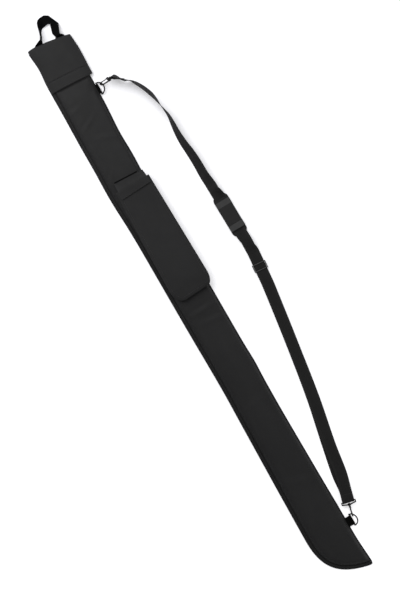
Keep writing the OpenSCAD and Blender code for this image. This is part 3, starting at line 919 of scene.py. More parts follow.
@cache
def stitch_pattern() -> Pattern:
    """The tree that lays stitches along paths, made once.

    Returns:
        The pattern.
    """
    made = Pattern("stitch_rows", Pitch="Float", Stitch_Length="Float", Thread_Radius="Float",
                   Thread="Material")
    add, given = made.add, made.given
    to_curve, spaced = add("GeometryNodeMeshToCurve"), add("GeometryNodeResampleCurve", mode="LENGTH")
    bead = preset(add("GeometryNodeMeshUVSphere"), Segments=6, Rings=4, Radius=1.0)
    size, half = add("ShaderNodeCombineXYZ"), add("ShaderNodeMath", operation="MULTIPLY")
    half.inputs[1].default_value = 0.5
    stretch, turn = add("GeometryNodeTransform"), add("FunctionNodeAlignRotationToVector", axis="X")
    place, real = add("GeometryNodeInstanceOnPoints"), add("GeometryNodeRealizeInstances")
    soft, paint = add("GeometryNodeSetShadeSmooth"), add("GeometryNodeSetMaterial")
    wire(made.tree, (given, "Given", to_curve, 0), (to_curve, 0, spaced, "Curve"),
         (given, "Pitch", spaced, "Length"), (given, "Stitch Length", half, 0), (half, 0, size, "X"),
         (given, "Thread Radius", size, "Y"), (given, "Thread Radius", size, "Z"),
         (bead, "Mesh", stretch, "Geometry"), (size, 0, stretch, "Scale"),
         (add("GeometryNodeInputTangent"), 0, turn, "Vector"), (spaced, 0, place, "Points"),
         (stretch, 0, place, "Instance"), (turn, 0, place, "Rotation"), (place, 0, real, 0),
         (real, 0, soft, 0), (soft, 0, paint, "Geometry"), (given, "Thread", paint, "Material"),
         (paint, 0, made.made, 0))
    return made


@cache
def hook_pattern() -> Pattern:
    """The tree that sets out a tape's hooks on a grid, made once.

    Returns:
        The pattern.
    """
    made = Pattern("tape_hooks", Width="Float", Length="Float", Across="Int", Along="Int", Middle="Vector",
                   Stem_Foot="Float", Stem_Head="Float", Stem_Height="Float", Plastic="Material")
    add, given = made.add, made.given
    points, move = add("GeometryNodeMeshGrid"), add("GeometryNodeTransform")
    stem, place = preset(add("GeometryNodeMeshCone"), Vertices=6), add("GeometryNodeInstanceOnPoints")
    real, paint = add("GeometryNodeRealizeInstances"), add("GeometryNodeSetMaterial")
    wire(made.tree, (given, "Width", points, "Size X"), (given, "Length", points, "Size Y"),
         (given, "Across", points, "Vertices X"), (given, "Along", points, "Vertices Y"),
         (points, "Mesh", move, "Geometry"), (given, "Middle", move, "Translation"),
         (given, "Stem Foot", stem, "Radius Bottom"), (given, "Stem Head", stem, "Radius Top"),
         (given, "Stem Height", stem, "Depth"), (move, 0, place, "Points"), (stem, "Mesh", place, "Instance"),
         (place, 0, real, 0), (real, 0, paint, "Geometry"), (given, "Plastic", paint, "Material"),
         (paint, 0, made.made, 0))
    return made


class StitchRows:
    """Rows of lockstitch along paths, sewn into one mesh for a body."""

    pitch = 0.0032
    length = 0.0024
    radius = 0.00042

    def __init__(self, name: str) -> None:
        """Starts with no rows."""
        self.name = name
        self.paths: list[Array] = []

    def along(self, path: Array) -> None:
        """Adds a row along a path of points."""
        self.paths.append(np.asarray(path, float))

    def sew(self) -> Piece:
        """Lays the stitches along every path.

        Returns:
            The stitches, as one plain piece.
        """
        verts, edges = [], []
        for path in self.paths:
            start = len(verts)
            verts += [tuple(p) for p in path]
            edges += [(start + i, start + i + 1) for i in range(len(path) - 1)]
        mesh = bpy.data.meshes.new(self.name)
        mesh.from_pydata(verts, edges, [])
        piece = put(self.name, mesh, Finishes.thread)
        stitch_pattern().lay(piece, Pitch=self.pitch, Stitch_Length=self.length, Thread_Radius=self.radius,
                             Thread=Finishes.thread.material())
        return piece


def settle(piece: Piece, body: str, slot: Slot, *nodes: str) -> None:
    """Lets a piece ride on a body in place of some solids.

    Args:
        piece: The finished piece.
        body: The body that it moves with.
        slot: The record's material slot, passed on to dressed.
        nodes: The solids that it stands for.
    """
    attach(piece, body)
    dressed(piece, slot, *nodes)


def dressed(piece: Piece, slot: Slot, *nodes: str) -> None:
    """Hides the solids that a piece stands for, and reports it.

    Args:
        piece: The finished piece.
        slot: Not used.
        nodes: The solids that it stands for.
    """
    if nodes:
        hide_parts(*nodes)
    LOG.info("%s: %d faces", piece.name, len(piece.data.polygons))


def joint(name: str) -> dict:
    """The joint of that name in the frame."""
    return next(j for j in frame["joints"] if j["name"] == name)


# Case


@dataclass(frozen=True)
class Bulge:
    """A soft bow of the case's edge: its middle along the case, its reach and how far it stands out."""

    middle: float
    reach: float
    out: float


@dataclass(frozen=True)
class Crease:
    """A fold that stands out on slack cloth: its middle, lean in radians, reach, spread and lift."""

    x: float
    y: float
    lean: float
    reach: float
    spread: float
    lift: float

    def at(self, x: Array, y: Array) -> Array:
        """Height of the fold and depth of the dip beside it.

        Args:
            x: Places across the case.
            y: Places along it.

        Returns:
            One height for each place.
        """
        run = (x - self.x) * math.cos(self.lean) + (y - self.y) * math.sin(self.lean)
        off = (y - self.y) * math.cos(self.lean) - (x - self.x) * math.sin(self.lean)
        fold = lump(off, 0.0, self.spread) - 0.7 * lump(off, 1.9 * self.spread, self.spread)
        return self.lift * lump(run, 0.0, self.reach) * fold


LEFT_BULGES = [Bulge(0.890, 0.040, -0.0052), Bulge(0.600, 0.110, 0.0029), Bulge(0.430, 0.090, 0.0049),
               Bulge(-0.230, 0.130, -0.0017), Bulge(-0.600, 0.130, 0.0012), Bulge(-0.800, 0.150, 0.0020)]
RIGHT_BULGES = [Bulge(0.850, 0.110, 0.0029), Bulge(0.590, 0.075, -0.0061), Bulge(0.450, 0.070, -0.0065),
                Bulge(-0.225, 0.045, 0.0021), Bulge(-0.400, 0.110, -0.0011), Bulge(-0.780, 0.130, 0.0018),
                Bulge(-0.960, 0.075, 0.0075)]
FRONT_CREASES = [
    Crease(-0.012, 0.664, 0.5, 0.03, 0.006, 0.0014), Crease(0.02, 0.60, -0.35, 0.035, 0.008, 0.001),
    Crease(-0.03, 0.72, 0.2, 0.03, 0.007, 0.0012), Crease(0.005, -0.008, 0.05, 0.04, 0.007, 0.0018),
    Crease(0.02, -0.05, -0.12, 0.04, 0.008, 0.0012), Crease(-0.03, 0.49, 0.9, 0.022, 0.006, 0.0006),
    Crease(0.0, -0.34, 0.25, 0.05, 0.012, 0.0008), Crease(0.01, -0.62, -0.3, 0.05, 0.013, 0.0009)]
FRONT_SLACK = (Slack(0.0007, 0.05, 0.13, 3.1), Slack(0.0004, 0.03, 0.035, 7.7))
SEAM_SLACK = Slack(0.0008, 0.02, 0.03, 1.3)
BACK_SLACK = Slack(0.0002, 0.05, 0.08, 5.0)
BINDING_RIPPLE = Slack(0.00025, 0.011, 0.011, 2.2)

# Left end of the lid's free edge, and how far the edge comes down for each metre across
HEM_LEFT = (-0.064, 0.8025)
HEM_LEAN = 0.048
# Place across the case and place of the lid's fold along it
LID_FOLD = 0.001 * np.array([(-65, 951.5), (-63, 953.8), (-59, 955), (-40, 954.5), (0, 950.6), (35, 945.2),
                             (60, 942), (80, 936.5)])


def bowed(y: Array, even: float, bulges: Sequence[Bulge]) -> Array:
    """How far a slack edge stands out at places along the case."""
    return even + sum(b.out * lump(y, b.middle, b.reach) for b in bulges)


def hem_line(x: Array) -> Array:
    """Place of the lid's free edge along the case."""
    return HEM_LEFT[1] - HEM_LEAN * (x - HEM_LEFT[0])


def fold_line(x: Array) -> Array:
    """Place of the lid's fold along the case, which droops towards the strap."""
    return np.interp(x, LID_FOLD[:, 0], LID_FOLD[:, 1])


@dataclass
class CaseShape:
    """Plan and height of the padded case, shared by every piece that lies on it."""

    half: float = field(default_factory=lambda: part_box("front_right_side")[1].x)
    left: float = field(default_factory=lambda: -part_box("front_toe")[0].x)
    mouth: float = field(default_factory=lambda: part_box("front_mouth")[1].y)
    toe_top: float = field(default_factory=lambda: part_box("back_padding")[0].y)
    toe: float = field(default_factory=lambda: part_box("back_panel")[0].y)
    left_out: float = 0.0011
    right_out: float = 0.0007
    flare_from: float = -0.2765
    tip_drop: float = 0.0045
    toe_side_pull: Pair = (0.001, 0.110)
    toe_tip_pull: Pair = (-0.0205, -0.9335)
    seam_z: float = 0.0035
    lowest: float = -0.0012
    left_seam: float = 0.0075
    left_flank: float = 0.021
    right_seam: float = 0.0015
    right_flank: float = 0.0115
    rise: float = 0.0155
    mouth_rise: float = 0.011
    under_lid: Pair = (0.745, 0.795)
    crown: float = 0.05
    crown_in: float = 0.02
    hem_trough: float = 0.0035
    hem_trough_in: float = 0.002
    hem_trough_reach: float = 0.005
    groove: float = 0.0042
    groove_in: float = 0.003
    groove_reach: float = 0.0024
    hook_dent: float = 0.0058
    hook_at: Pair = (0.0565, 0.7563)
    hook_reach: Pair = (0.012, 0.02)
    pucker_in: float = 0.02
    pucker_reach: float = 0.012

    def __post_init__(self) -> None:
        """Works out the plan once."""
        side = np.arange(self.mouth, self.toe_top, -0.01)
        self.left_line = np.vstack([np.stack([self.left_edge(side), side], axis=1),
                                    self.toe_points(np.linspace(0.0, 1.0, 61))])
        up = np.linspace(self.left_line[-1, 1], self.mouth, 190)
        self.right_line = np.stack([self.right_edge(up), up], axis=1)

    def toe_points(self, f: Array) -> Array:
        """Points of the toe's edge.

        Args:
            f: Shares of the way from the straight side to the tip.

        Returns:
            One point for each share.
        """
        start = np.array([self.left_edge(np.array(self.toe_top)), self.toe_top])
        low = self.toe - self.tip_drop
        tip = np.array([self.right_edge(np.array(low)), low])
        return bezier(np.array([start, start - self.toe_side_pull, self.toe_tip_pull, tip]), f)

    def left_edge(self, y: Array) -> Array:
        """Edge of the fabric away from the strap, along the straight side."""
        share = np.clip((self.flare_from - y) / (self.flare_from - self.toe_top), 0.0, 1.0)
        return -lerp(self.half, self.left, share) - bowed(y, self.left_out, LEFT_BULGES)

    def right_edge(self, y: Array) -> Array:
        """Edge of the fabric on the strap's side."""
        return self.half + bowed(y, self.right_out, RIGHT_BULGES)

    def top(self, points: Array) -> Array:
        """Height of the front's outer face.

        Args:
            points: Points, with x and y on their last axis.

        Returns:
            One height for each point.
        """
        x, y = points[..., 0], points[..., 1]
        left, right = from_line(points, self.left_line), from_line(points, self.right_line)
        swell = self.swell(left, self.left_seam, self.left_flank)
        swell = swell * self.swell(right, self.right_seam, self.right_flank)
        crown = ease(np.minimum(left, right), self.crown_in, self.half)
        dent = lump(x, self.hook_at[0], self.hook_reach[0]) * lump(y, self.hook_at[1], self.hook_reach[1])
        rise = lerp(self.rise, self.mouth_rise, ease(y, *self.under_lid)) - self.hook_dent * dent
        rise = rise - self.hem_trough * lump(y, hem_line(x) - self.hem_trough_in, self.hem_trough_reach)
        rise = rise * ((1.0 - self.crown) * swell + self.crown * crown)
        rise = rise - self.groove * lump(left, self.left_seam + self.groove_in, self.groove_reach)
        return self.seam_z + np.maximum(rise, self.lowest) + self.creases(points, left) * swell

    def swell(self, inset: Array, seam: float, flank: float) -> Array:
        """Share of the full rise at distances from an edge."""
        return np.sin(np.clip((inset - seam) / flank, 0.0, 1.0) * math.pi / 2) ** 0.8

    def creases(self, points: Array, inset: Array) -> Array:
        """How far the slack cloth stands off its smooth shape.

        Args:
            points: Points, with x and y on their last axis.
            inset: Their distances from the left edge.

        Returns:
            One height for each point.
        """
        slack = sum(layer.at(points) for layer in FRONT_SLACK)
        slack += SEAM_SLACK.at(points) * lump(inset, self.pucker_in, self.pucker_reach)
        for fold in FRONT_CREASES:
            slack += fold.at(points[..., 0], points[..., 1])
        return slack

    def edge_path(self, inset: float, step: float = 0.006) -> Array:
        """The case's edge moved inwards, from the mouth round the toe and back, with a rounded tip.

        Args:
            inset: How far it moves.
            step: Distance between its points.

        Returns:
            The points of the path.
        """
        plan = np.vstack([self.left_line, self.right_line[1:]])
        at = lengths_along(plan)
        marks = np.arange(0.0, at[-1], step)
        line = np.stack([np.interp(marks, at, plan[:, k]) for k in range(2)], axis=1)
        for _ in range(2):
            line[1:-1] = (line[:-2] + 2 * line[1:-1] + line[2:]) / 4
        return line + leftwards(line) * inset


@dataclass
class Case:
    """The padded shell: front, back, their linings, the binding and its stitches."""

    shape: CaseShape
    front_thick: float = 0.0015
    back_thick: float = 0.0018
    back_z: float = 0.0002
    foam: float = 0.0024
    row_step: float = 0.0045
    hem_rows: Triple = (0.7865, 0.806, 0.0015)
    mouth_in: float = 0.0045
    mouth_drawn: float = 0.05
    lining_in: float = 0.005
    lining_drawn: float = 0.9
    lining_slack: Pair = (0.0045, 0.0002)
    lining_touch: Pair = (0.86, 0.92)
    binding_in: float = 0.0085
    binding_thick: float = 0.0007
    stitch_in: float = 0.0063
    stitch_z: float = 0.0052

    def plan_grid(self, columns: int, mouth: float) -> Array:
        """Rows of points across the case from toe to mouth, closer together towards its edges.

        Args:
            columns: Points in each row.
            mouth: Place of the last row along the case.

        Returns:
            The rows, at height zero.
        """
        toe = self.shape.toe_points(np.linspace(0.985, 0.0, 44))
        even = np.arange(self.shape.toe_top + self.row_step, mouth - 0.001, self.row_step)
        straight = np.unique(np.concatenate([even, np.arange(*self.hem_rows), [mouth]]))
        y = np.concatenate([toe[:, 1], straight])
        x = np.concatenate([toe[:, 0], self.shape.left_edge(straight)])
        grid = np.zeros((len(y), columns, 3))
        across = closer_at_ends(columns, 0.5)
        grid[..., 0] = lerp(x[:, None], self.shape.right_edge(y)[:, None], across[None])
        draw = np.maximum(0.0, mouth - fold_line(grid[..., 0]) + self.mouth_in)
        grid[..., 1] = y[:, None] - draw * ease(y[:, None], mouth - self.mouth_drawn, mouth)
        return grid

    def front(self) -> None:
        """The front's cloth."""
        grid = self.plan_grid(43, self.shape.mouth)
        grid[..., 2] = self.shape.top(grid)
        piece = Cloth("front_cloth", grid, self.front_thick, Finishes.shell).build()
        settle(piece, "case", Slot.CASE, "front_panel", "front_mouth", "front_left_side", "front_right_side",
               "front_toe")

    def back(self) -> None:
        """The back's cloth, face down."""
        grid = self.plan_grid(21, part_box("back_panel")[1].y)[:, ::-1]
        inset = from_line(grid, self.shape.left_line)
        grid[..., 2] = self.back_z + BACK_SLACK.at(grid) * ease(inset, 0.01, 0.03)
        piece = Cloth("back_cloth", grid, self.back_thick, Finishes.back).build()
        settle(piece, "case", Slot.CASE, "back_panel")

    def under_front(self, points: Array) -> Array:
        """Height of the front's foam, which touches the cloth only near the mouth."""
        slack = lerp(*self.lining_slack, ease(points[..., 1], *self.lining_touch))
        return self.shape.top(points) - self.front_thick - slack

    def lining(self, name: str, nodes: Sequence[str], height: Callable[[Array], Array]) -> None:
        """One sheet of foam with its lining.

        Args:
            name: The piece's name.
            nodes: The solids that it stands for, the last at the mouth.
            height: Gives the height of its outer face at points.
        """
        low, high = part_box(nodes[0])[0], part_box(nodes[-1])[1]
        grid = level_grid(np.linspace(low.x, high.x, 13), np.linspace(low.y, high.y, 150))
        draw = np.maximum(0.0, high.y + self.lining_in - fold_line(grid[..., 0]))
        grid[..., 1] -= draw * ease(grid[..., 1], self.lining_drawn, high.y)
        grid[..., 2] = height(grid)
        settle(Cloth(name, grid, self.foam, Finishes.lining).build(), "case", Slot.FOAM, *nodes)

    def binding(self) -> None:
        """The tape folded over the seam."""
        # Distance out from the case's edge and height, over the edge and back under it
        tape = [(-self.binding_in, 0.0042), (-self.binding_in + 0.0004, 0.0048), (-0.004, 0.005),
                (0.0, 0.0047), (0.0017, 0.0039), (0.0023, 0.0026), (0.0017, 0.0012), (0.0, 0.0004),
                (-0.004, 0.00005), (-self.binding_in, 0.00005)]
        seam = self.shape.edge_path(0.0)
        below_fold = seam[:, 1] < fold_line(seam[:, 0]) - 0.005
        columns = []
        for out, z in tape:
            line = self.shape.edge_path(-out)[below_fold]
            columns.append(np.column_stack([line, np.full(len(line), z)]))
        grid = np.stack(columns, axis=1)
        grid[..., 2] += np.where(grid[..., 2] > 0.002, BINDING_RIPPLE.at(grid), 0.0)
        piece = Cloth("edge_binding_tape", grid, self.binding_thick, Finishes.binding).build()
        settle(piece, "case", Slot.CASE, "edge_binding")

    def stitches(self) -> None:
        """The row of stitches along the binding."""
        rows = StitchRows("edge_stitches")
        line = self.shape.edge_path(self.stitch_in)
        line = line[:np.argmin(line[:, 1])]
        rows.along(np.column_stack([line, np.full(len(line), self.stitch_z)]))
        settle(rows.sew(), "case", Slot.CASE)

    def build(self) -> None:
        """Builds the shell's pieces."""
        self.front()
        self.back()
        self.lining("front_lining", ("front_padding", "mouth_padding"), self.under_front)
        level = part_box("back_padding")[1].z
        self.lining("back_lining", ("back_padding",), lambda points: np.full(points.shape[:-1], level))
        self.binding()
        self.stitches()


# Lid


# Distance from the fold, and the lid's left and right edges there
LID_SIDES = 0.001 * np.array([(0, -65, 78), (14, -62.2, 79), (50, -60.3, 81.4), (75, -61.4, 81),
                              (115, -65.3, 79.3), (150, -65.7, 78.2)])
# Distances of the flap's rows from its free edge, close together along the hem's seam and at the edge
HEM_ROWS = np.array([0.041, 0.037, 0.0352, 0.0346, 0.034, 0.0334, 0.0328, 0.032, 0.03, 0.025, 0.019, 0.013,
                     0.008, 0.004, 0.002, 0.0008, 0.0])
# Distance out from the fold and height of the cloth that turns up into the lid
HINGE_PROFILE = [(-0.020, 0.0002), (-0.012, 0.0002), (-0.006, 0.0002), (-0.0025, 0.0004), (-0.0004, 0.0011),
                 (0.0008, 0.0024), (0.0012, 0.004), (0.0012, 0.0065), (0.0009, 0.009)]
LID_SLACK = Slack(0.0006, 0.035, 0.03, 9.4)


@dataclass
class Lid:
    """The flap folded over the mouth, the fold itself and its fastening."""

    top: float = field(default_factory=lambda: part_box("lid_flap")[1].z)
    base: float = 0.0023
    thick: float = 0.0017
    fold_r: float = 0.0075
    hem: float = 0.0335
    hem_step: float = 0.0009
    hem_ramp: Pair = (-0.0009, 0.0003)
    seam_dip: float = 0.0010
    seam_at: float = -0.0008
    seam_reach: float = 0.0014
    edge_dip: float = 0.0007
    edge_reach: float = 0.002
    fold_share: float = 0.6
    length: float = 0.142
    strip_right: float = 0.063
    left_droop: float = 0.0105
    left_flat: float = -0.036
    left_slope: float = 0.0265
    right_droop: float = 0.0085
    right_flat: float = 0.044
    right_slope: float = 0.034
    hinge_half: float = 0.0625
    hinge_even: float = 0.045
    hinge_taper: float = 0.0016
    hinge_thick: float = 0.0009
    lining_run: Pair = (-0.0615, 0.004)
    lining_in: float = 0.0022
    lining_clear: float = 0.0002
    lining_top: float = 0.0175
    lining_under: float = 0.0028
    lining_thick: float = 0.0011
    stitch_run: Pair = (0.012, 0.988)
    stitch_lift: float = 0.0003
    edge_row: float = 0.0035
    edge_lift: float = 0.0004
    side_rows: Pair = (0.03, 0.97)
    side_run: Pair = (0.006, 0.132)

    def height(self, x: Array) -> Array:
        """Height of the lid's outer face.

        Args:
            x: Places across the case.

        Returns:
            One height for each place.
        """
        droop = self.left_droop * np.clip((self.left_flat - x) / self.left_slope, 0.0, 1.2) ** 1.6
        fall = self.right_droop * np.clip((x - self.right_flat) / self.right_slope, 0.0, 1.2) ** 1.5
        return self.top - droop - fall

    def face(self, u: Array, edge: Array) -> Array:
        """Points of the flap's outer face.

        Args:
            u: Shares of the way across.
            edge: Distances from the free edge.

        Returns:
            One point for each pair.
        """
        s = np.clip(1.0 - edge / self.length, 0.0, 1.0)
        from_fold = self.fold_r + s * self.length
        left, right = (np.interp(from_fold, LID_SIDES[:, 0], LID_SIDES[:, k]) for k in (1, 2))
        x = lerp(left, right, u)
        y = lerp(fold_line(x) - self.fold_r, hem_line(x), s)
        low, high = (self.hem + off for off in self.hem_ramp)
        z = self.height(x) + self.hem_step * ease(edge, low, high)
        z = z - self.seam_dip * lump(edge, self.hem + self.seam_at, self.seam_reach)
        z = z - self.edge_dip * lump(edge, 0.0, self.edge_reach)
        points = np.stack([x, y, z], axis=-1)
        points[..., 2] += LID_SLACK.at(points) * ease(s, 0.0, 0.25)
        return points

    def cloth(self) -> None:
        """The flap and the strip up to it, as one sheet that bends at the fold."""
        u = np.linspace(0.0, 1.0, 57)
        x = lerp(LID_SIDES[0, 1], LID_SIDES[0, 2], u)
        high, fold = self.height(x), fold_line(x)
        end = ease(x, self.strip_right, LID_SIDES[0, 2])
        base = lerp(self.base, high - self.fold_r * self.fold_share, end)
        radius = np.minimum(self.fold_r, self.fold_share * (high - base))
        up = np.linspace(0.0, 1.0, 7)[:-1]
        rows = [np.stack([x, fold, lerp(base, high - radius, f)], axis=1) for f in up]
        for a in np.linspace(0.0, math.pi / 2, 8)[:-1]:
            y, z = fold - radius + radius * math.cos(a), high - radius + radius * math.sin(a)
            rows.append(np.stack([x, y, z], axis=1))
        for edge in np.concatenate([np.linspace(self.length, 0.046, 22), HEM_ROWS]):
            rows.append(self.face(u, np.full_like(u, edge)))
        piece = Cloth("lid_cloth", np.array(rows)[:, ::-1], self.thick, Finishes.lid, rounds=1).build()
        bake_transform(piece)
        dressed(piece, Slot.CASE, "lid_flap", "lid_fold")

    def hinge_cloth(self) -> None:
        """The back's cloth where it turns up into the lid."""
        x = np.linspace(-self.hinge_half, self.hinge_half, 33)
        taper = self.hinge_taper * ease(np.abs(x), self.hinge_even, self.hinge_half)
        rows = [np.stack([x, fold_line(x) + y - taper, np.full_like(x, z)], axis=1) for y, z in HINGE_PROFILE]
        grid = np.array(rows)[:, ::-1]
        piece = Cloth("lid_hinge_cloth", grid, self.hinge_thick, Finishes.lid, rounds=1).build()
        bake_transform(piece)
        dressed(piece, Slot.CASE)

    def fold_lining(self) -> None:
        """The strip's inner sheet, where the fold stands out past its hinge."""
        hinge_y = joint("lid_fold_hinge")["pos_m"][1]
        x = np.linspace(*self.lining_run, 18)
        y = np.minimum(fold_line(x) - self.lining_in, hinge_y - self.lining_clear)
        top = np.minimum(self.lining_top, self.height(x) - self.lining_under)
        rows = [np.stack([x, y, lerp(self.base, top, f)], axis=1) for f in np.linspace(0.0, 1.0, 6)]
        grid = np.array(rows)[:, ::-1]
        piece = Cloth("lid_fold_lining", grid, self.lining_thick, Finishes.lid, rounds=1).build()
        settle(piece, "lid_fold", Slot.CASE)

    def stitches(self) -> None:
        """The rows along the lid's hem and sides."""
        rows = StitchRows("lid_stitches")
        u = np.linspace(*self.stitch_run, 60)
        for edge, lift in ((self.hem, self.stitch_lift), (self.edge_row, self.edge_lift)):
            rows.along(self.face(u, np.full_like(u, edge)) + UP * lift)
        edge = np.linspace(*self.side_run, 40)
        for side in self.side_rows:
            rows.along(self.face(np.full_like(edge, side), edge) + UP * self.stitch_lift)
        settle(rows.sew(), "lid", Slot.CASE)

    def build(self) -> None:
        """Builds the lid's pieces."""
        self.cloth()
        self.hinge_cloth()
        self.fold_lining()
        self.stitches()
        FasteningTape("lid_loops", "lid_loop_tape", "case", Pile.LOOPS, 1.0).build()
        FasteningTape("lid_hooks", "lid_hook_tape", "lid", Pile.HOOKS, -1.0).build()


TAPE_FUZZ = Slack(0.00015, 0.004, 0.004, 4.0)


@dataclass
class FasteningTape:
    """One half of a hook and loop fastening."""

    name: str
    node: str
    body: str
    pile: Pile
    facing: float
    pitch: float = 0.0016
    margin: float = 0.003
    pile_high: float = 0.0007
    stem_foot: float = 0.00022
    stem_head: float = 0.00032
    stem_height: float = 0.0006

    def build(self) -> None:
        """Builds the woven ground, and the hooks of a hook tape."""
        low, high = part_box(self.node)
        hooked = self.pile is Pile.HOOKS
        pile = self.pile_high if hooked else 0.0
        level = (high.z if self.facing > 0 else low.z) - self.facing * pile
        grid = level_grid(np.linspace(low.x, high.x, 41), np.linspace(low.y, high.y, 15))
        grid[..., 2] = level + self.facing * TAPE_FUZZ.at(grid)
        if self.facing < 0:
            grid = grid[:, ::-1]
        finish = Finishes.hook_tape if hooked else Finishes.loop_tape
        ground = Cloth(self.name, grid, high.z - low.z - pile, finish).build()
        settle(ground, self.body, Slot.TAPE, self.node)
        if hooked:
            self.hooks(low, high, level)

    def hooks(self, low: Vector, high: Vector, level: float) -> None:
        """Sets out the hooks on a grid.

        Args:
            low: The tape's lowest corner.
            high: Its highest corner.
            level: Height of the ground that they stand on.
        """
        wide, deep = high.x - low.x - 2 * self.margin, high.y - low.y - 2 * self.margin
        lift = self.facing * self.stem_height / 2
        middle = Vector(((low.x + high.x) / 2, (low.y + high.y) / 2, level + lift))
        piece = put(self.name + "_pile", bpy.data.meshes.new(self.name), Finishes.plastic)
        hook_pattern().lay(piece, Width=wide, Length=deep, Across=round(wide / self.pitch),
                           Along=round(deep / self.pitch), Middle=middle, Stem_Foot=self.stem_foot,
                           Stem_Head=self.stem_head, Stem_Height=self.stem_height,
                           Plastic=Finishes.plastic.material())
        settle(piece, self.body, Slot.TAPE)


# Pocket


# Section of the pocket's flap along the case: from its seam, over the roll and down to its free edge
FLAP_PROFILE = [(0.4545, 0.0192), (0.4585, 0.0191), (0.4608, 0.0194), (0.4621, 0.0208), (0.4625, 0.0226),
                (0.4617, 0.0244), (0.4595, 0.0262), (0.4550, 0.0292), (0.4498, 0.0327), (0.4450, 0.0354),
                (0.4400, 0.0373), (0.4340, 0.0381), (0.4270, 0.0382), (0.4200, 0.0381), (0.4150, 0.0380),
                (0.4120, 0.0378), (0.4110, 0.0375)]
# Share of the gusset's height and how far it is tucked in there
GUSSET_TUCKS = [(0.0, 0.0), (0.08, 0.0), (0.3, 0.0022), (0.5, 0.0042), (0.7, 0.0022), (0.92, 0.0008),
                (1.0, 0.0006)]
POCKET_SLACK = (Slack(0.0008, 0.045, 0.07, 6.1), Slack(0.0005, 0.02, 0.028, 8.3))
FLAP_SLACK = Slack(0.0005, 0.028, 0.02, 5.5)


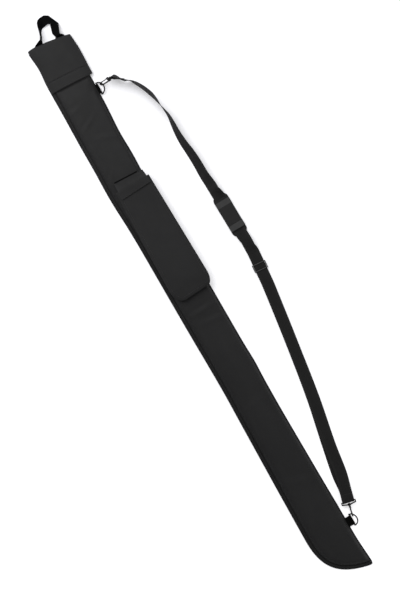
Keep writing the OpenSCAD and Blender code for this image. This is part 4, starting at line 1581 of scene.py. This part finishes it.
@dataclass
class Pocket:
    """The bellows pocket: its front, gusset, flap and fastening.

    Pairs are for the left and the right side, and the root's are where it starts and ends. The front and the
    foot have for each side its distance from the centre line at the mouth and at the closed end.
    """

    shape: CaseShape
    mouth: float = field(default_factory=lambda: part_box("pocket_front")[1].y)
    top: float = field(default_factory=lambda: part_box("pocket_front")[1].z)
    thick: float = 0.0015
    front_sides: tuple[Pair, Pair] = ((0.0455, 0.054), (0.0715, 0.0795))
    foot_sides: tuple[Pair, Pair] = ((0.041, 0.043), (0.043, 0.043))
    foot_up: float = 0.010
    turns: Pair = (0.095, 0.090)
    ends: Pair = (0.045, 0.051)
    corners: Pair = (0.032, 0.018)
    edge_drop: float = 0.0034
    roll: float = 0.009
    channel: float = 0.0095
    channel_dip: float = 0.0006
    channel_reach: float = 0.0013
    crown: float = 0.0012
    gusset_thick: float = 0.0009
    flap_at_seam: Pair = (-0.0355, 0.0625)
    flap_at_edge: Pair = (-0.0405, 0.0665)
    flap_flat: Pair = (-0.026, 0.052)
    flap_slope: float = 0.0145
    flap_droops: Pair = (0.0028, 0.0016)
    flap_middle: float = 0.013
    flap_from: float = 0.463
    flap_down: float = 0.052
    flap_lean: float = 0.055
    root_lean: float = 0.04
    root_x: Pair = (-0.034, 0.044)
    root_y: Pair = (0.4622, 0.4668)
    root_lift: float = 0.0005
    root_thick: float = 0.0008
    flap_seam: float = 0.43
    stitch_lift: float = 0.0004

    def sides(self, spread: tuple[Pair, Pair], low: float) -> list[Array]:
        """Both sides of the pocket's outline, each from the middle of its closed end up to the mouth.

        Args:
            spread: For each side its distance from the centre line at the mouth and at the closed end.
            low: How far up the outline moves at the closed end.

        Returns:
            The left and the right side.
        """
        a = np.linspace(math.pi / 2, 0.0, 15)
        up = np.linspace(0.0, 1.0, 64)[1:]
        found = []
        rows = zip((-1, 1), spread, self.turns, self.ends, self.corners)
        for side, (at_mouth, at_end), turn, end, wide in rows:
            x = np.concatenate([at_end - wide * (1 - np.cos(a)), lerp(at_end, at_mouth, up)])
            y = np.concatenate([turn - (turn - end - low) * np.sin(a), lerp(turn, self.mouth, up)])
            found.append(np.stack([side * x, y], axis=1))
        return found

    def rim(self, spread: tuple[Pair, Pair], low: float) -> Array:
        """The outline down the left side, round the closed end and up the right side."""
        down, up = self.sides(spread, low)
        return np.vstack([down[::-1], lerp(down[0], up[0], np.linspace(0, 1, 14)[1:-1, None]), up])

    def outline(self) -> Array:
        """The edge of the pocket's front."""
        return self.rim(self.front_sides, 0.0)

    def height(self, points: Array) -> Array:
        """Height of the pocket's outer face.

        Args:
            points: Points, with x and y on their last axis.

        Returns:
            One height for each point.
        """
        inset = from_line(points, self.outline())
        z = self.top - self.edge_drop * (1.0 - np.sqrt(np.clip(inset / self.roll, 0.0, 1.0)))
        z = z - self.channel_dip * lump(inset, self.channel, self.channel_reach)
        z = z + self.crown * ease(inset, 0.012, 0.06)
        return z + sum(layer.at(points) for layer in POCKET_SLACK) * ease(inset, 0.004, 0.02)

    def front(self) -> None:
        """The pocket's front."""
        left, right = self.sides(self.front_sides, 0.0)
        plan = lerp(left[:, None], right[:, None], closer_at_ends(51, 0.55)[None, :, None])
        grid = np.concatenate([plan, np.zeros((*plan.shape[:2], 1))], axis=2)
        grid[..., 2] = self.height(grid)
        piece = Cloth("pocket_cloth", grid, self.thick, Finishes.pocket).build()
        settle(piece, "case", Slot.CASE, "pocket_front")

    def gusset(self) -> None:
        """The folded side wall under the pocket's edge."""
        head, foot = self.outline(), self.rim(self.foot_sides, self.foot_up)
        inward = unit_rows(foot - head)
        low, high = self.shape.top(foot) - 0.0002, self.top - self.edge_drop - 0.0005
        rows = [np.column_stack([lerp(foot, head, q) + inward * tuck, lerp(low, high, q)])
                for q, tuck in GUSSET_TUCKS]
        piece = Cloth("pocket_gusset_cloth", np.array(rows), self.gusset_thick, Finishes.pocket).build()
        settle(piece, "case", Slot.CASE, "pocket_gusset")

    def flap_face(self, u: Array, s: float) -> Array:
        """Points across the flap at one place along its profile.

        Args:
            u: Shares of the way across.
            s: The place, counted in points of the profile.

        Returns:
            One point for each share.
        """
        y, z = (np.interp(s, np.arange(len(FLAP_PROFILE)), [p[k] for p in FLAP_PROFILE]) for k in range(2))
        share = float(np.clip((self.flap_from - y) / self.flap_down, 0.0, 1.0))
        left, right = (lerp(a, b, share) for a, b in zip(self.flap_at_seam, self.flap_at_edge))
        x = lerp(left, right, u)
        lean = (self.flap_lean * share - self.root_lean * (1 - share)) * (x - self.flap_middle)
        droop = sum(drop * np.clip(side * (x - flat) / self.flap_slope, 0.0, 1.0) ** 2
                    for side, drop, flat in zip((-1, 1), self.flap_droops, self.flap_flat))
        points = np.stack([x, y + lean, z - droop * share], axis=1)
        points[:, 2] += FLAP_SLACK.at(points) * share
        return points

    def flap(self) -> None:
        """The flap, rolled over its seam at the top."""
        u = np.linspace(0.0, 1.0, 41)
        grid = np.array([self.flap_face(u, s) for s in np.arange(0.0, len(FLAP_PROFILE) - 0.99, 0.5)])
        piece = Cloth("pocket_flap_cloth", grid[:, ::-1], self.thick, Finishes.pocket, rounds=1).build()
        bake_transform(piece)
        dressed(piece, Slot.CASE, "pocket_flap")

    def flap_root(self) -> None:
        """A near-black strip of loop webbing along the seam above the flap, laid there as painted shade for
        the dark gap.
        """
        grid = level_grid(np.linspace(*self.root_x, 27), np.linspace(*self.root_y, 5))
        grid[..., 1] -= self.root_lean * (grid[..., 0] - self.flap_middle)
        grid[..., 2] = self.shape.top(grid) + self.root_lift
        # The near-black finish paints the shade of the gap above the flap's roll.
        piece = Cloth("pocket_flap_root", grid, self.root_thick, Finishes.loop_webbing).build()
        settle(piece, "case", Slot.CASE)

    def stitches(self) -> None:
        """The rows on the pocket and on its flap."""
        rows = StitchRows("pocket_stitches")
        line = self.outline()
        inside = line + leftwards(line) * self.channel
        keep = inside[inside[:, 1] < self.flap_seam]
        rows.along(np.column_stack([keep, self.height(keep) + self.stitch_lift]))
        settle(rows.sew(), "case", Slot.CASE)
        rows = StitchRows("pocket_flap_stitches")
        across = np.linspace(0.03, 0.97, 50)
        rows.along(self.flap_face(across, len(FLAP_PROFILE) - 1.45) + UP * self.stitch_lift)
        settle(rows.sew(), "pocket_flap", Slot.CASE)

    def build(self) -> None:
        """Builds the pocket's pieces."""
        self.front()
        self.gusset()
        self.flap()
        self.flap_root()
        self.stitches()
        FasteningTape("pocket_loops", "pocket_loop_tape", "case", Pile.LOOPS, 1.0).build()
        FasteningTape("pocket_hooks", "pocket_hook_tape", "pocket_flap", Pile.HOOKS, -1.0).build()


# Hand loop, tabs and strap


CREASE = (0.4, -0.917, 0.0)
# Share of the way between the ends, share of the loop's height, height off the ground in shares of half
# the width, direction across and share of the width, which is greater across the crease
LOOP_ROWS = [
    (0.0, 0.03, 0.0, (1.0, 0.0, 0.0), 1.0), (0.096, 0.127, 0.62, (0.75, 0.12, -0.65), 1.0),
    (0.24, 0.208, 0.96, (0.12, 0.06, -0.99), 1.0), (0.308, 0.345, 0.97, (0.1, 0.05, -0.99), 1.0),
    (0.38, 0.58, 0.97, (0.12, 0.02, -0.99), 1.0), (0.452, 0.789, 0.88, (0.21, -0.37, -0.91), 1.0),
    (0.508, 0.876, 0.75, (0.26, -0.63, -0.73), 1.0), (0.582, 0.945, 0.6, (0.2, -0.87, -0.45), 1.0),
    (0.696, 0.984, 0.5, (0.08, -1.0, -0.1), 1.0), (0.829, 0.998, 0.47, (-0.03, -1.0, 0.0), 1.0),
    (1.1, 0.835, 0.44, CREASE, 1.4), (1.127, 0.829, 0.367, CREASE, 1.4), (1.134, 0.756, 0.293, CREASE, 1.04),
    (1.026, 0.468, 0.5, (0.83, -0.3, 0.47), 1.0), (0.952, 0.208, 0.6, (0.8, -0.17, 0.57), 1.0),
    (0.952, 0.01, 0.86, (0.53, -0.1, 0.84), 1.0), (1.0, -0.09, 0.0, (1.0, 0.0, 0.0), 1.0)]


@dataclass
class HandLoop:
    """The webbing loop at the lid's end, with both ends sewn under the back."""

    width: float = 0.030
    thick: float = 0.0016
    left: float = 0.027
    right: float = 0.046
    tail: float = 0.030
    reach: float = 0.062
    clear: float = 0.0006
    lift: float = 0.00005
    stitch_side: float = 0.004
    stitch_end: float = 0.003
    back: float = field(default_factory=lambda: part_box("back_panel")[1].y)
    top: float = field(default_factory=lambda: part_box("lid_flap")[1].y)

    def route(self) -> tuple[Array, Array, Array]:
        """Follows the loop from its first sewn end to the second.

        Returns:
            Middle points, directions across and shares of the width.
        """
        lie = self.thick / 2 + self.lift
        ends = [((x, self.back - self.tail, lie), (1.0, 0.0, 0.0), 1.0) for x in (-self.left, self.right)]
        rows = [((lerp(-self.left, self.right, share), self.top + self.clear + self.reach * up,
                  lie + self.width / 2 * high), side, wide) for share, up, high, side, wide in LOOP_ROWS]
        return tuple(np.array(column) for column in zip(ends[0], *rows, ends[1]))

    def build(self) -> None:
        """Builds the loop and the stitches of its sewn ends."""
        middles, across, shares = self.route()
        piece = Ribbon("hand_loop", middles, across, self.width, self.thick, Finishes.loop_webbing,
                       step=0.004, shares=shares, folded=True).build()
        settle(piece, "case", Slot.WEBBING, "carry_handle")
        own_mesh(piece)
        rows = StitchRows("hand_loop_stitches")
        half = self.width / 2 - self.stitch_side
        low, high = self.back - self.tail + self.stitch_end, self.back - self.stitch_side
        for x in (-self.left, self.right):
            a, b = x - half, x + half
            box = [(a, low), (b, low), (b, high), (a, high), (a, low), (b, high), (a, high), (b, low)]
            rows.along(np.array([(*corner, -self.lift) for corner in box]))
        settle(rows.sew(), "case", Slot.WEBBING)


@dataclass
class RingTab:
    """A webbing tab that is sewn into the seam and holds one ring."""

    name: str
    node: str
    turning: str
    width: float = 0.031
    thick: float = 0.0015
    bar: float = 0.002
    clear: float = 0.0003
    edge: float = 0.0648
    neck: float = 0.0045
    wrap: float = 1.95

    def build(self) -> None:
        """Builds the folded tab."""
        found = joint(self.turning)
        at, line = np.array(found["pos_m"]), unit(found["axis"])
        turn, gap = self.bar + self.clear + self.thick / 2, self.thick / 2 + 0.0001
        points = [(self.edge, at[2] - gap), (at[0] - self.neck, at[2] - gap - 0.0001)]
        for a in np.linspace(-self.wrap, self.wrap, 13):
            points.append((at[0] + turn * math.cos(a), at[2] + turn * math.sin(a)))
        points += [(at[0] - self.neck, at[2] + gap + 0.0001), (self.edge, at[2] + gap)]
        middles = np.array([(x, at[1] + (x - at[0]) * line[0], z) for x, z in points])
        across = np.tile(-line, (len(points), 1))
        ribbon = Ribbon(self.name, middles, across, self.width, self.thick, Finishes.loop_webbing, step=0.002)
        settle(ribbon.build(), "case", Slot.WEBBING, self.node)


# Shares of the strap's reach, of the way from the pad up to the ring and of half the width off the ground,
# and the roll in degrees
STRAP_UPPER = [
    (0.619, 0.932, 1.22, 78), (0.684, 0.902, 1.08, 70), (0.757, 0.855, 1.0, 67), (0.827, 0.79, 0.98, 67),
    (0.86, 0.738, 1.0, 75), (0.876, 0.692, 1.03, 85), (0.896, 0.652, 1.04, 91), (0.915, 0.601, 1.03, 99),
    (0.908, 0.532, 0.99, 110), (0.897, 0.465, 0.95, 116), (0.902, 0.385, 0.89, 123),
    (0.924, 0.307, 0.82, 130), (0.936, 0.23, 0.78, 134), (0.938, 0.118, 0.74, 138), (0.957, 0.035, 0.62, 148)]
# Share of the run through the pad, tilt in degrees and shift aside, level where the pad's bands slide
PAD_RUN = [(1.0, 36, -0.0035), (0.86, 17, -0.0015), (0.72, 0, 0.0), (0.0, 0, 0.0), (-0.72, 0, 0.0),
           (-0.86, 12, 0.0006), (-1.0, 24, 0.0015)]
# Shares of the strap's reach and of the way down to the lower bar, and how far each layer lies to its side
STRAP_LOWER = [(0.917, 0.086, 0.0), (0.776, 0.314, 0.0), (0.619, 0.541, 0.001), (0.424, 0.762, 0.0025),
               (0.323, 0.895, 0.004)]


def tilted(along: Sequence[float], degrees: float) -> Triple:
    """The direction across a strap that runs along a level direction, tilted up by some degrees."""
    a = math.radians(degrees)
    return along[1] * math.cos(a), -along[0] * math.cos(a), math.sin(a)


@dataclass
class Strap:
    """The shoulder strap's webbing, from the upper eye through pad and slider to the lower eye and back."""

    width: float = 0.038
    thick: float = 0.0016
    gap: float = 0.0003
    eye_reach: float = 0.0394
    eye_r: float = 0.0019
    eye_clear: float = 0.00035
    end_marks: Triple = (0.012, 0.026, 0.040)
    end_twist: Pair = (0.006, 0.034)
    eye_marks: Pair = (0.012, 0.034)
    eye_fade: float = 0.040
    pad_level: float = 0.091
    slider_level: float = 0.0485
    slider_end: float = 0.0022
    between_roll: float = 26.0
    reach: float = 0.164
    edge: float = 0.0655
    pad_z: float = 0.0075
    tilt_lift: float = 0.9
    slide_z: float = 0.00415
    two_z: float = 0.003
    low_z: float = 0.0011
    upper_run: Array = field(default_factory=lambda: unit((0.73, -0.68, 0.1)))
    lower_run: Array = field(default_factory=lambda: unit((0.26, 0.966, 0.0)))
    slider_across: Triple = (1.0, -0.05, 0.0)
    lower_across: Triple = (1.0, -0.1, 0.0)
    eye_across: Triple = (1.0, -0.2, 0.0)

    def __post_init__(self) -> None:
        """Finds the eyes, the pad and the slider in the frame."""
        upper, lower = joint("upper_hook_swivel"), joint("lower_hook_swivel")
        self.upper_axis, self.lower_axis = unit(upper["axis"]), unit(lower["axis"])
        self.upper_bar = np.array(upper["pos_m"]) + self.eye_reach * self.upper_axis
        self.lower_bar = np.array(lower["pos_m"]) + self.eye_reach * self.lower_axis
        self.pad_dir, self.slider_dir = unit(joint("pad_slide")["axis"]), unit(joint("slider_slide")["axis"])
        self.pad_at, self.slider_at = (np.array([*((low + high) / 2).xy, 0.0])
                                       for low, high in (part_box("pad_cover"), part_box("slider_frame")))
        self.turn = self.eye_r + self.eye_clear + self.thick / 2

    def on_pad(self, share: float) -> Array:
        """A place on the ground along the run through the pad, from 1 at its upper end to -1."""
        return self.pad_at + self.pad_dir * share * self.pad_level

    def on_slider(self, share: float) -> Array:
        """A place on the ground along the run through the slider, from 1 at its upper end to -1."""
        return self.slider_at + self.slider_dir * share * self.slider_level

    def upper_end(self) -> list[Station]:
        """The sewn end, its turn round the upper eye and the strap's start beside it.

        Returns:
            Middle points and directions across.
        """
        bar, run, turn = self.upper_bar, self.upper_run, self.turn
        across = unit(np.cross(self.upper_axis, run))
        side = unit(np.cross(run, across))
        ends = [(f, unit(lerp(-across, UP, ease(f, *self.end_twist)))) for f in self.end_marks]
        found = []
        for f, twisted in reversed(ends):
            aside = lerp(turn, self.thick + self.gap - turn, min(1.0, f / self.end_marks[1]))
            found.append((bar + f * run + unit(np.cross(twisted, run)) * aside, twisted))
        for a in np.radians(np.arange(90, 271, 30)):
            found.append((bar + turn * (math.cos(a) * run + math.sin(a) * side), -across))
        return found + [(bar + f * run - turn * unit(np.cross(twisted, run)), twisted) for f, twisted in ends]

    def upper_half(self) -> list[Station]:
        """The twisted run from the upper eye to the pad, and the runs through pad and slider.

        Returns:
            Middle points and directions across.
        """
        pad_top, ring_y = self.on_pad(1.0), joint("upper_ring_turn")["pos_m"][1]
        line = [self.upper_bar + self.end_marks[-1] * self.upper_run]
        for reach, climb, high, _ in STRAP_UPPER:
            line.append(np.array([self.edge + reach * self.reach, lerp(pad_top[1], ring_y, climb),
                                  high * self.width / 2]))
        line.append(pad_top + UP * self.pad_z)
        found = []
        for i, row in enumerate(STRAP_UPPER, start=1):
            step = line[i + 1] - line[i - 1]
            found.append((line[i], tilted(unit((step[0], step[1], 0.0)), row[3])))
        for share, tilt, aside in PAD_RUN:
            lift = self.pad_z + self.tilt_lift * self.width / 2 * math.sin(math.radians(tilt))
            found.append((self.on_pad(share) + np.array([aside, 0.0, lift]), tilted(self.pad_dir, tilt)))
        rolled = tilted((0.0, 1.0), self.between_roll)
        middle = (self.on_pad(-1.0) + self.on_slider(1.0)) / 2
        found.append((middle + UP * (self.width / 2 * rolled[2] + self.thick), rolled))
        return found + [(self.on_slider(share) + UP * self.slide_z, self.slider_across)
                        for share in (1.0, 0.85, -0.85, -1.0)]

    def lower_half(self) -> list[Station]:
        """The run down to the lower eye, the turn round it and the run back under the first to the slider.

        Returns:
            Middle points and directions across.
        """
        bar, turn, start = self.lower_bar, self.turn, self.on_slider(-1.0)
        drop = start[1] - bar[1]
        line = [np.array([self.edge + reach * self.reach, start[1] - f * drop, 0.0])
                for reach, f, _ in STRAP_LOWER]
        apart = [np.array([out, 0.0, 0.0]) for _, _, out in STRAP_LOWER]
        found = [(p + out + UP * self.two_z, self.lower_across) for p, out in zip(line, apart)]
        near = self.eye_marks[0]
        for f in reversed(self.eye_marks):
            lift = lerp(turn, self.two_z + 0.002 - bar[2], (f - near) / self.eye_fade)
            found.append((bar + f * self.lower_run + UP * lift, self.eye_across))
        across = unit(np.cross(UP, self.lower_axis))
        for a in np.radians(np.arange(90, -91, -30)):
            found.append((bar + turn * (-math.cos(a) * self.lower_axis + math.sin(a) * UP), -across))
        for f in self.eye_marks:
            fall = lerp(turn, bar[2] - self.low_z - 0.001, (f - near) / self.eye_fade)
            found.append((bar + f * self.lower_run - UP * fall, self.eye_across))
        found += [(p - out + UP * self.low_z, self.lower_across) for p, out in zip(line[::-1], apart[::-1])]
        end = self.slider_at - self.slider_dir * self.slider_end
        return found + [(place + UP * self.low_z, self.slider_across) for place in (start, end)]

    def route(self) -> tuple[Array, Array]:
        """Follows the webbing from the sewn upper end to the end on the slider.

        Returns:
            Middle points and directions across.
        """
        stations = self.upper_end() + self.upper_half() + self.lower_half()
        return np.array([place for place, _ in stations]), np.array([unit(across) for _, across in stations])

    def build(self) -> None:
        """Builds the webbing and the stitches of its sewn ends."""
        middles, across = self.route()
        ribbon = Ribbon("strap_cloth", middles, across, self.width, self.thick, Finishes.webbing)
        settle(ribbon.build(), "strap", Slot.WEBBING, "strap_webbing")
        line, side, out, _ = ribbon.smooth()
        rows = StitchRows("strap_stitches")
        span = np.linspace(-0.43, 0.43, 12)[:, None] * self.width
        for bar, near, far in ((self.upper_bar, 0.022, 0.030), (self.lower_bar, 0.020, 0.027)):
            off = np.linalg.norm(line - bar, axis=1)
            i = np.flatnonzero((off > near) & (off < far))[0]
            for face in (-1.0, 1.0):
                rows.along(line[i] + out[i] * face * self.thick * 0.55 + side[i] * span)
        settle(rows.sew(), "strap", Slot.WEBBING)


# Share of the way in from the pad's rim and height above its base, from below round the rim to the crown
FOAM_RINGS = [(0.16, 0.0), (0.06, 0.0002), (0.012, 0.0010), (0.0, 0.0026), (0.012, 0.0046), (0.06, 0.0059),
              (0.11, 0.0061), (0.15, 0.0056), (0.19, 0.0054), (0.23, 0.0057), (0.32, 0.006), (0.6, 0.0062)]
# Half of a sleeve's section: shares of its half width and of its height
SLEEVE_ARCH = [(-1.0, 0.0), (-1.0, 0.35), (-0.985, 0.68), (-0.94, 0.9), (-0.86, 0.985), (-0.6, 1.0),
               (-0.2, 1.02)]
# Half of a sleeve's length: share of the length from its middle, and how far it has risen to its full height
SLEEVE_ENDS = [(-0.5, 0.55), (-0.495, 0.82), (-0.47, 0.96), (-0.4, 1.0), (-0.2, 1.0), (0.0, 1.0)]


@dataclass
class ShoulderPad:
    """The pad on the strap: foam base, rubber cover and two grip bands."""

    strap: Strap
    length: float = 0.144
    width: float = 0.050
    base: float = 0.0003
    height: float = 0.0062
    corner: float = 0.018
    cover_length: float = 0.062
    cover_in: float = 0.002
    band: float = 0.019
    sleeve_thick: float = 0.0013
    sleeve_sunk: float = 0.0008
    sleeve_lip: float = 0.9

    def place(self, local: Array) -> Array:
        """Points of the pad's own frame in the part's frame."""
        across, along = np.array(tilted(self.strap.pad_dir, 0.0)), self.strap.pad_dir
        return self.strap.pad_at + local[..., :1] * across + local[..., 1:2] * along + local[..., 2:] * UP

    def foam(self) -> None:
        """The crowned foam base, with a welt round its rim."""
        count, half_w, half_l = 96, self.width / 2, self.length / 2
        a = np.linspace(0.0, 2 * math.pi, count, endpoint=False)
        outline = np.stack([np.sign(turn) * (half - self.corner) + self.corner * turn
                            for turn, half in ((np.cos(a), half_w), (np.sin(a), half_l))], axis=1)
        spine = np.stack([np.zeros(count), np.clip(outline[:, 1], -half_l + half_w, half_l - half_w)], axis=1)
        verts = np.vstack([np.column_stack([lerp(outline, spine, f), np.full(count, self.base + z)])
                           for f, z in FOAM_RINGS])
        faces = tube_faces(len(FOAM_RINGS), count)
        piece = closed_mesh("pad_foam", self.place(verts), faces, verts[:, :2], np.zeros(len(verts)),
                            Finishes.pad, rounds=1)
        settle(piece, "pad", Slot.PAD_FOAM, "pad_base")

    def sleeve(self, name: str, node: str, middle: float, length: float, half: float, finish: Finish,
               slot: Slot) -> None:
        """A sleeve over the strap.

        Args:
            name: The piece's name.
            node: The solid that it stands for, which gives the height of its outer face.
            middle: Place of its middle along the pad.
            length: Its length along the pad.
            half: Half its width.
            finish: What it is made of.
            slot: The record's material slot.
        """
        low = self.height + self.base - self.sleeve_sunk
        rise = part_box(node)[1].z - low
        arch = SLEEVE_ARCH + [(-x, z) for x, z in SLEEVE_ARCH[::-1]]
        ends = SLEEVE_ENDS + [(-y, s) for y, s in SLEEVE_ENDS[-2::-1]]
        grid = np.array([[(x * half, middle + y * length, low + rise * z * lerp(self.sleeve_lip, 1.0, s))
                          for x, z in arch] for y, s in ends])
        piece = Cloth(name, self.place(grid), self.sleeve_thick, finish, rounds=1).build()
        settle(piece, "pad", slot, node)

    def build(self) -> None:
        """Builds the pad's pieces."""
        self.foam()
        half, offset = self.width / 2, (self.cover_length + self.band) / 2
        self.sleeve("pad_cover_skin", "pad_cover", 0.0, self.cover_length, half - self.cover_in,
                    Finishes.cover, Slot.PAD_FOAM)
        for name, node, middle in (("pad_band_high", "pad_upper_band", offset),
                                   ("pad_band_low", "pad_lower_band", -offset)):
            self.sleeve(name, node, middle, self.band, half, Finishes.band, Slot.PAD_GRIP)


@dataclass
class Hardware:
    """Rings, hooks, gates, pins and slider: solids of the frame with their finishes."""

    strap: Strap
    end_width: float = 0.036
    end_run: Pair = (-0.05, -0.0016)

    def paint(self, nodes: Sequence[str], finish: Finish) -> None:
        """Gives solids of the frame their finish.

        Args:
            nodes: Names of the solids.
            finish: What they are made of.
        """
        for name in nodes:
            piece = frame["nodes"][name]
            piece.data.materials.clear()
            piece.data.materials.append(finish.material())
            LOG.info("%s: %s", name, finish.name)

    def webbing_end(self) -> None:
        """The sewn end of the webbing on the slider's middle bar."""
        along = self.strap.slider_dir
        low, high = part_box("slider_webbing_end")
        level = self.strap.slider_at + UP * (low.z + high.z) / 2
        middles = np.array([level + along * y for y in np.linspace(*self.end_run, 8)])
        across = np.tile(tilted(along, 0.0), (len(middles), 1))
        ribbon = Ribbon("slider_cloth_end", middles, across, self.end_width, high.z - low.z, Finishes.webbing)
        settle(ribbon.build(), "slider", Slot.WEBBING, "slider_webbing_end")

    def build(self) -> None:
        """Paints the solids and adds the webbing on the slider."""
        ends = ("upper", "lower")
        wires = [f"{end}_{part}" for end in ends for part in ("d_ring", "hook", "gate", "hook_eye")]
        self.paint(wires, Finishes.enamel)
        self.paint([f"{end}_gate_pin" for end in ends], Finishes.steel)
        self.paint(["slider_frame"], Finishes.plastic)
        self.webbing_end()


@dataclass
class Studio:
    """White ground, soft lamps and the camera straight above."""

    middle: Pair = (0.0152, 0.0226)
    turn: float = -29.96
    view_height: float = 1.86
    lens: float = 85.0
    sensor: float = 36.0
    daylight: float = 0.42
    floor_half: float = 12.0
    floor_z: float = -0.0004

    def ground(self) -> None:
        """The pale floor, which keeps the object's shadow."""
        mesh, size = bpy.data.meshes.new("floor"), self.floor_half
        mesh.from_pydata([(-size, -size, 0), (size, -size, 0), (size, size, 0), (-size, size, 0)], [],
                         [(0, 1, 2, 3)])
        floor = put("floor", mesh, Finishes.ground)
        floor.location.z = self.floor_z

    def lamp(self, name: str, place: Triple, aim: Triple, size: float, power: float) -> None:
        """A square soft lamp.

        Args:
            name: Its name.
            place: Where it hangs.
            aim: The point that it faces.
            size: Its side.
            power: Its power in watts.
        """
        data = bpy.data.lights.new(name, "AREA")
        data.size, data.energy = size, power
        lamp = bpy.data.objects.new(name, data)
        lamp.location = place
        lamp.rotation_euler = (Vector(aim) - Vector(place)).to_track_quat("-Z", "Y").to_euler()
        bpy.context.scene.collection.objects.link(lamp)

    def camera(self) -> None:
        """The camera, straight above and turned as in the photograph."""
        data = bpy.data.cameras.new("camera")
        data.lens, data.sensor_width = self.lens, self.sensor
        data.dof.use_dof = False
        camera = bpy.data.objects.new("camera", data)
        camera.location = (*self.middle, self.view_height * self.lens / self.sensor)
        camera.rotation_euler = (0.0, 0.0, math.radians(self.turn))
        bpy.context.scene.collection.objects.link(camera)
        bpy.context.scene.camera = camera

    def sky(self) -> None:
        """Even daylight, which looks white where nothing else is seen."""
        world = bpy.data.worlds.new("studio")
        world.use_nodes = True
        tree = world.node_tree
        sky = preset(tree.nodes["Background"], Color=(1.0, 1.0, 1.0, 1.0))
        level = add_node(tree, "ShaderNodeMath", operation="MULTIPLY_ADD")
        level.inputs[1].default_value, level.inputs[2].default_value = 1.0 - self.daylight, self.daylight
        rays = add_node(tree, "ShaderNodeLightPath")
        wire(tree, (rays, "Is Camera Ray", level, 0), (level, 0, sky, "Strength"))
        bpy.context.scene.world = world

    def build(self) -> None:
        """Builds the studio."""
        bpy.context.scene.view_settings.view_transform = "Standard"
        self.sky()
        self.camera()
        self.ground()
        self.lamp("key", (-0.25, 1.7, 1.6), (0.0, 0.6, 0.0), 2.0, 43.0)
        self.lamp("fill", (1.5, -1.2, 0.95), (0.0, -0.6, 0.0), 1.2, 10.5)


def main() -> None:
    """Builds the studio and every sub-assembly in order."""
    logging.basicConfig(level=logging.INFO, format="%(name)s %(message)s")
    Studio().build()
    shape = CaseShape()
    Case(shape).build()
    Lid().build()
    Pocket(shape).build()
    HandLoop().build()
    RingTab("upper_tab", "upper_ring_tab", "upper_ring_turn").build()
    RingTab("lower_tab", "lower_ring_tab", "lower_ring_turn").build()
    strap = Strap()
    strap.build()
    ShoulderPad(strap).build()
    Hardware(strap).build()


if __name__ == "__main__":
    main()
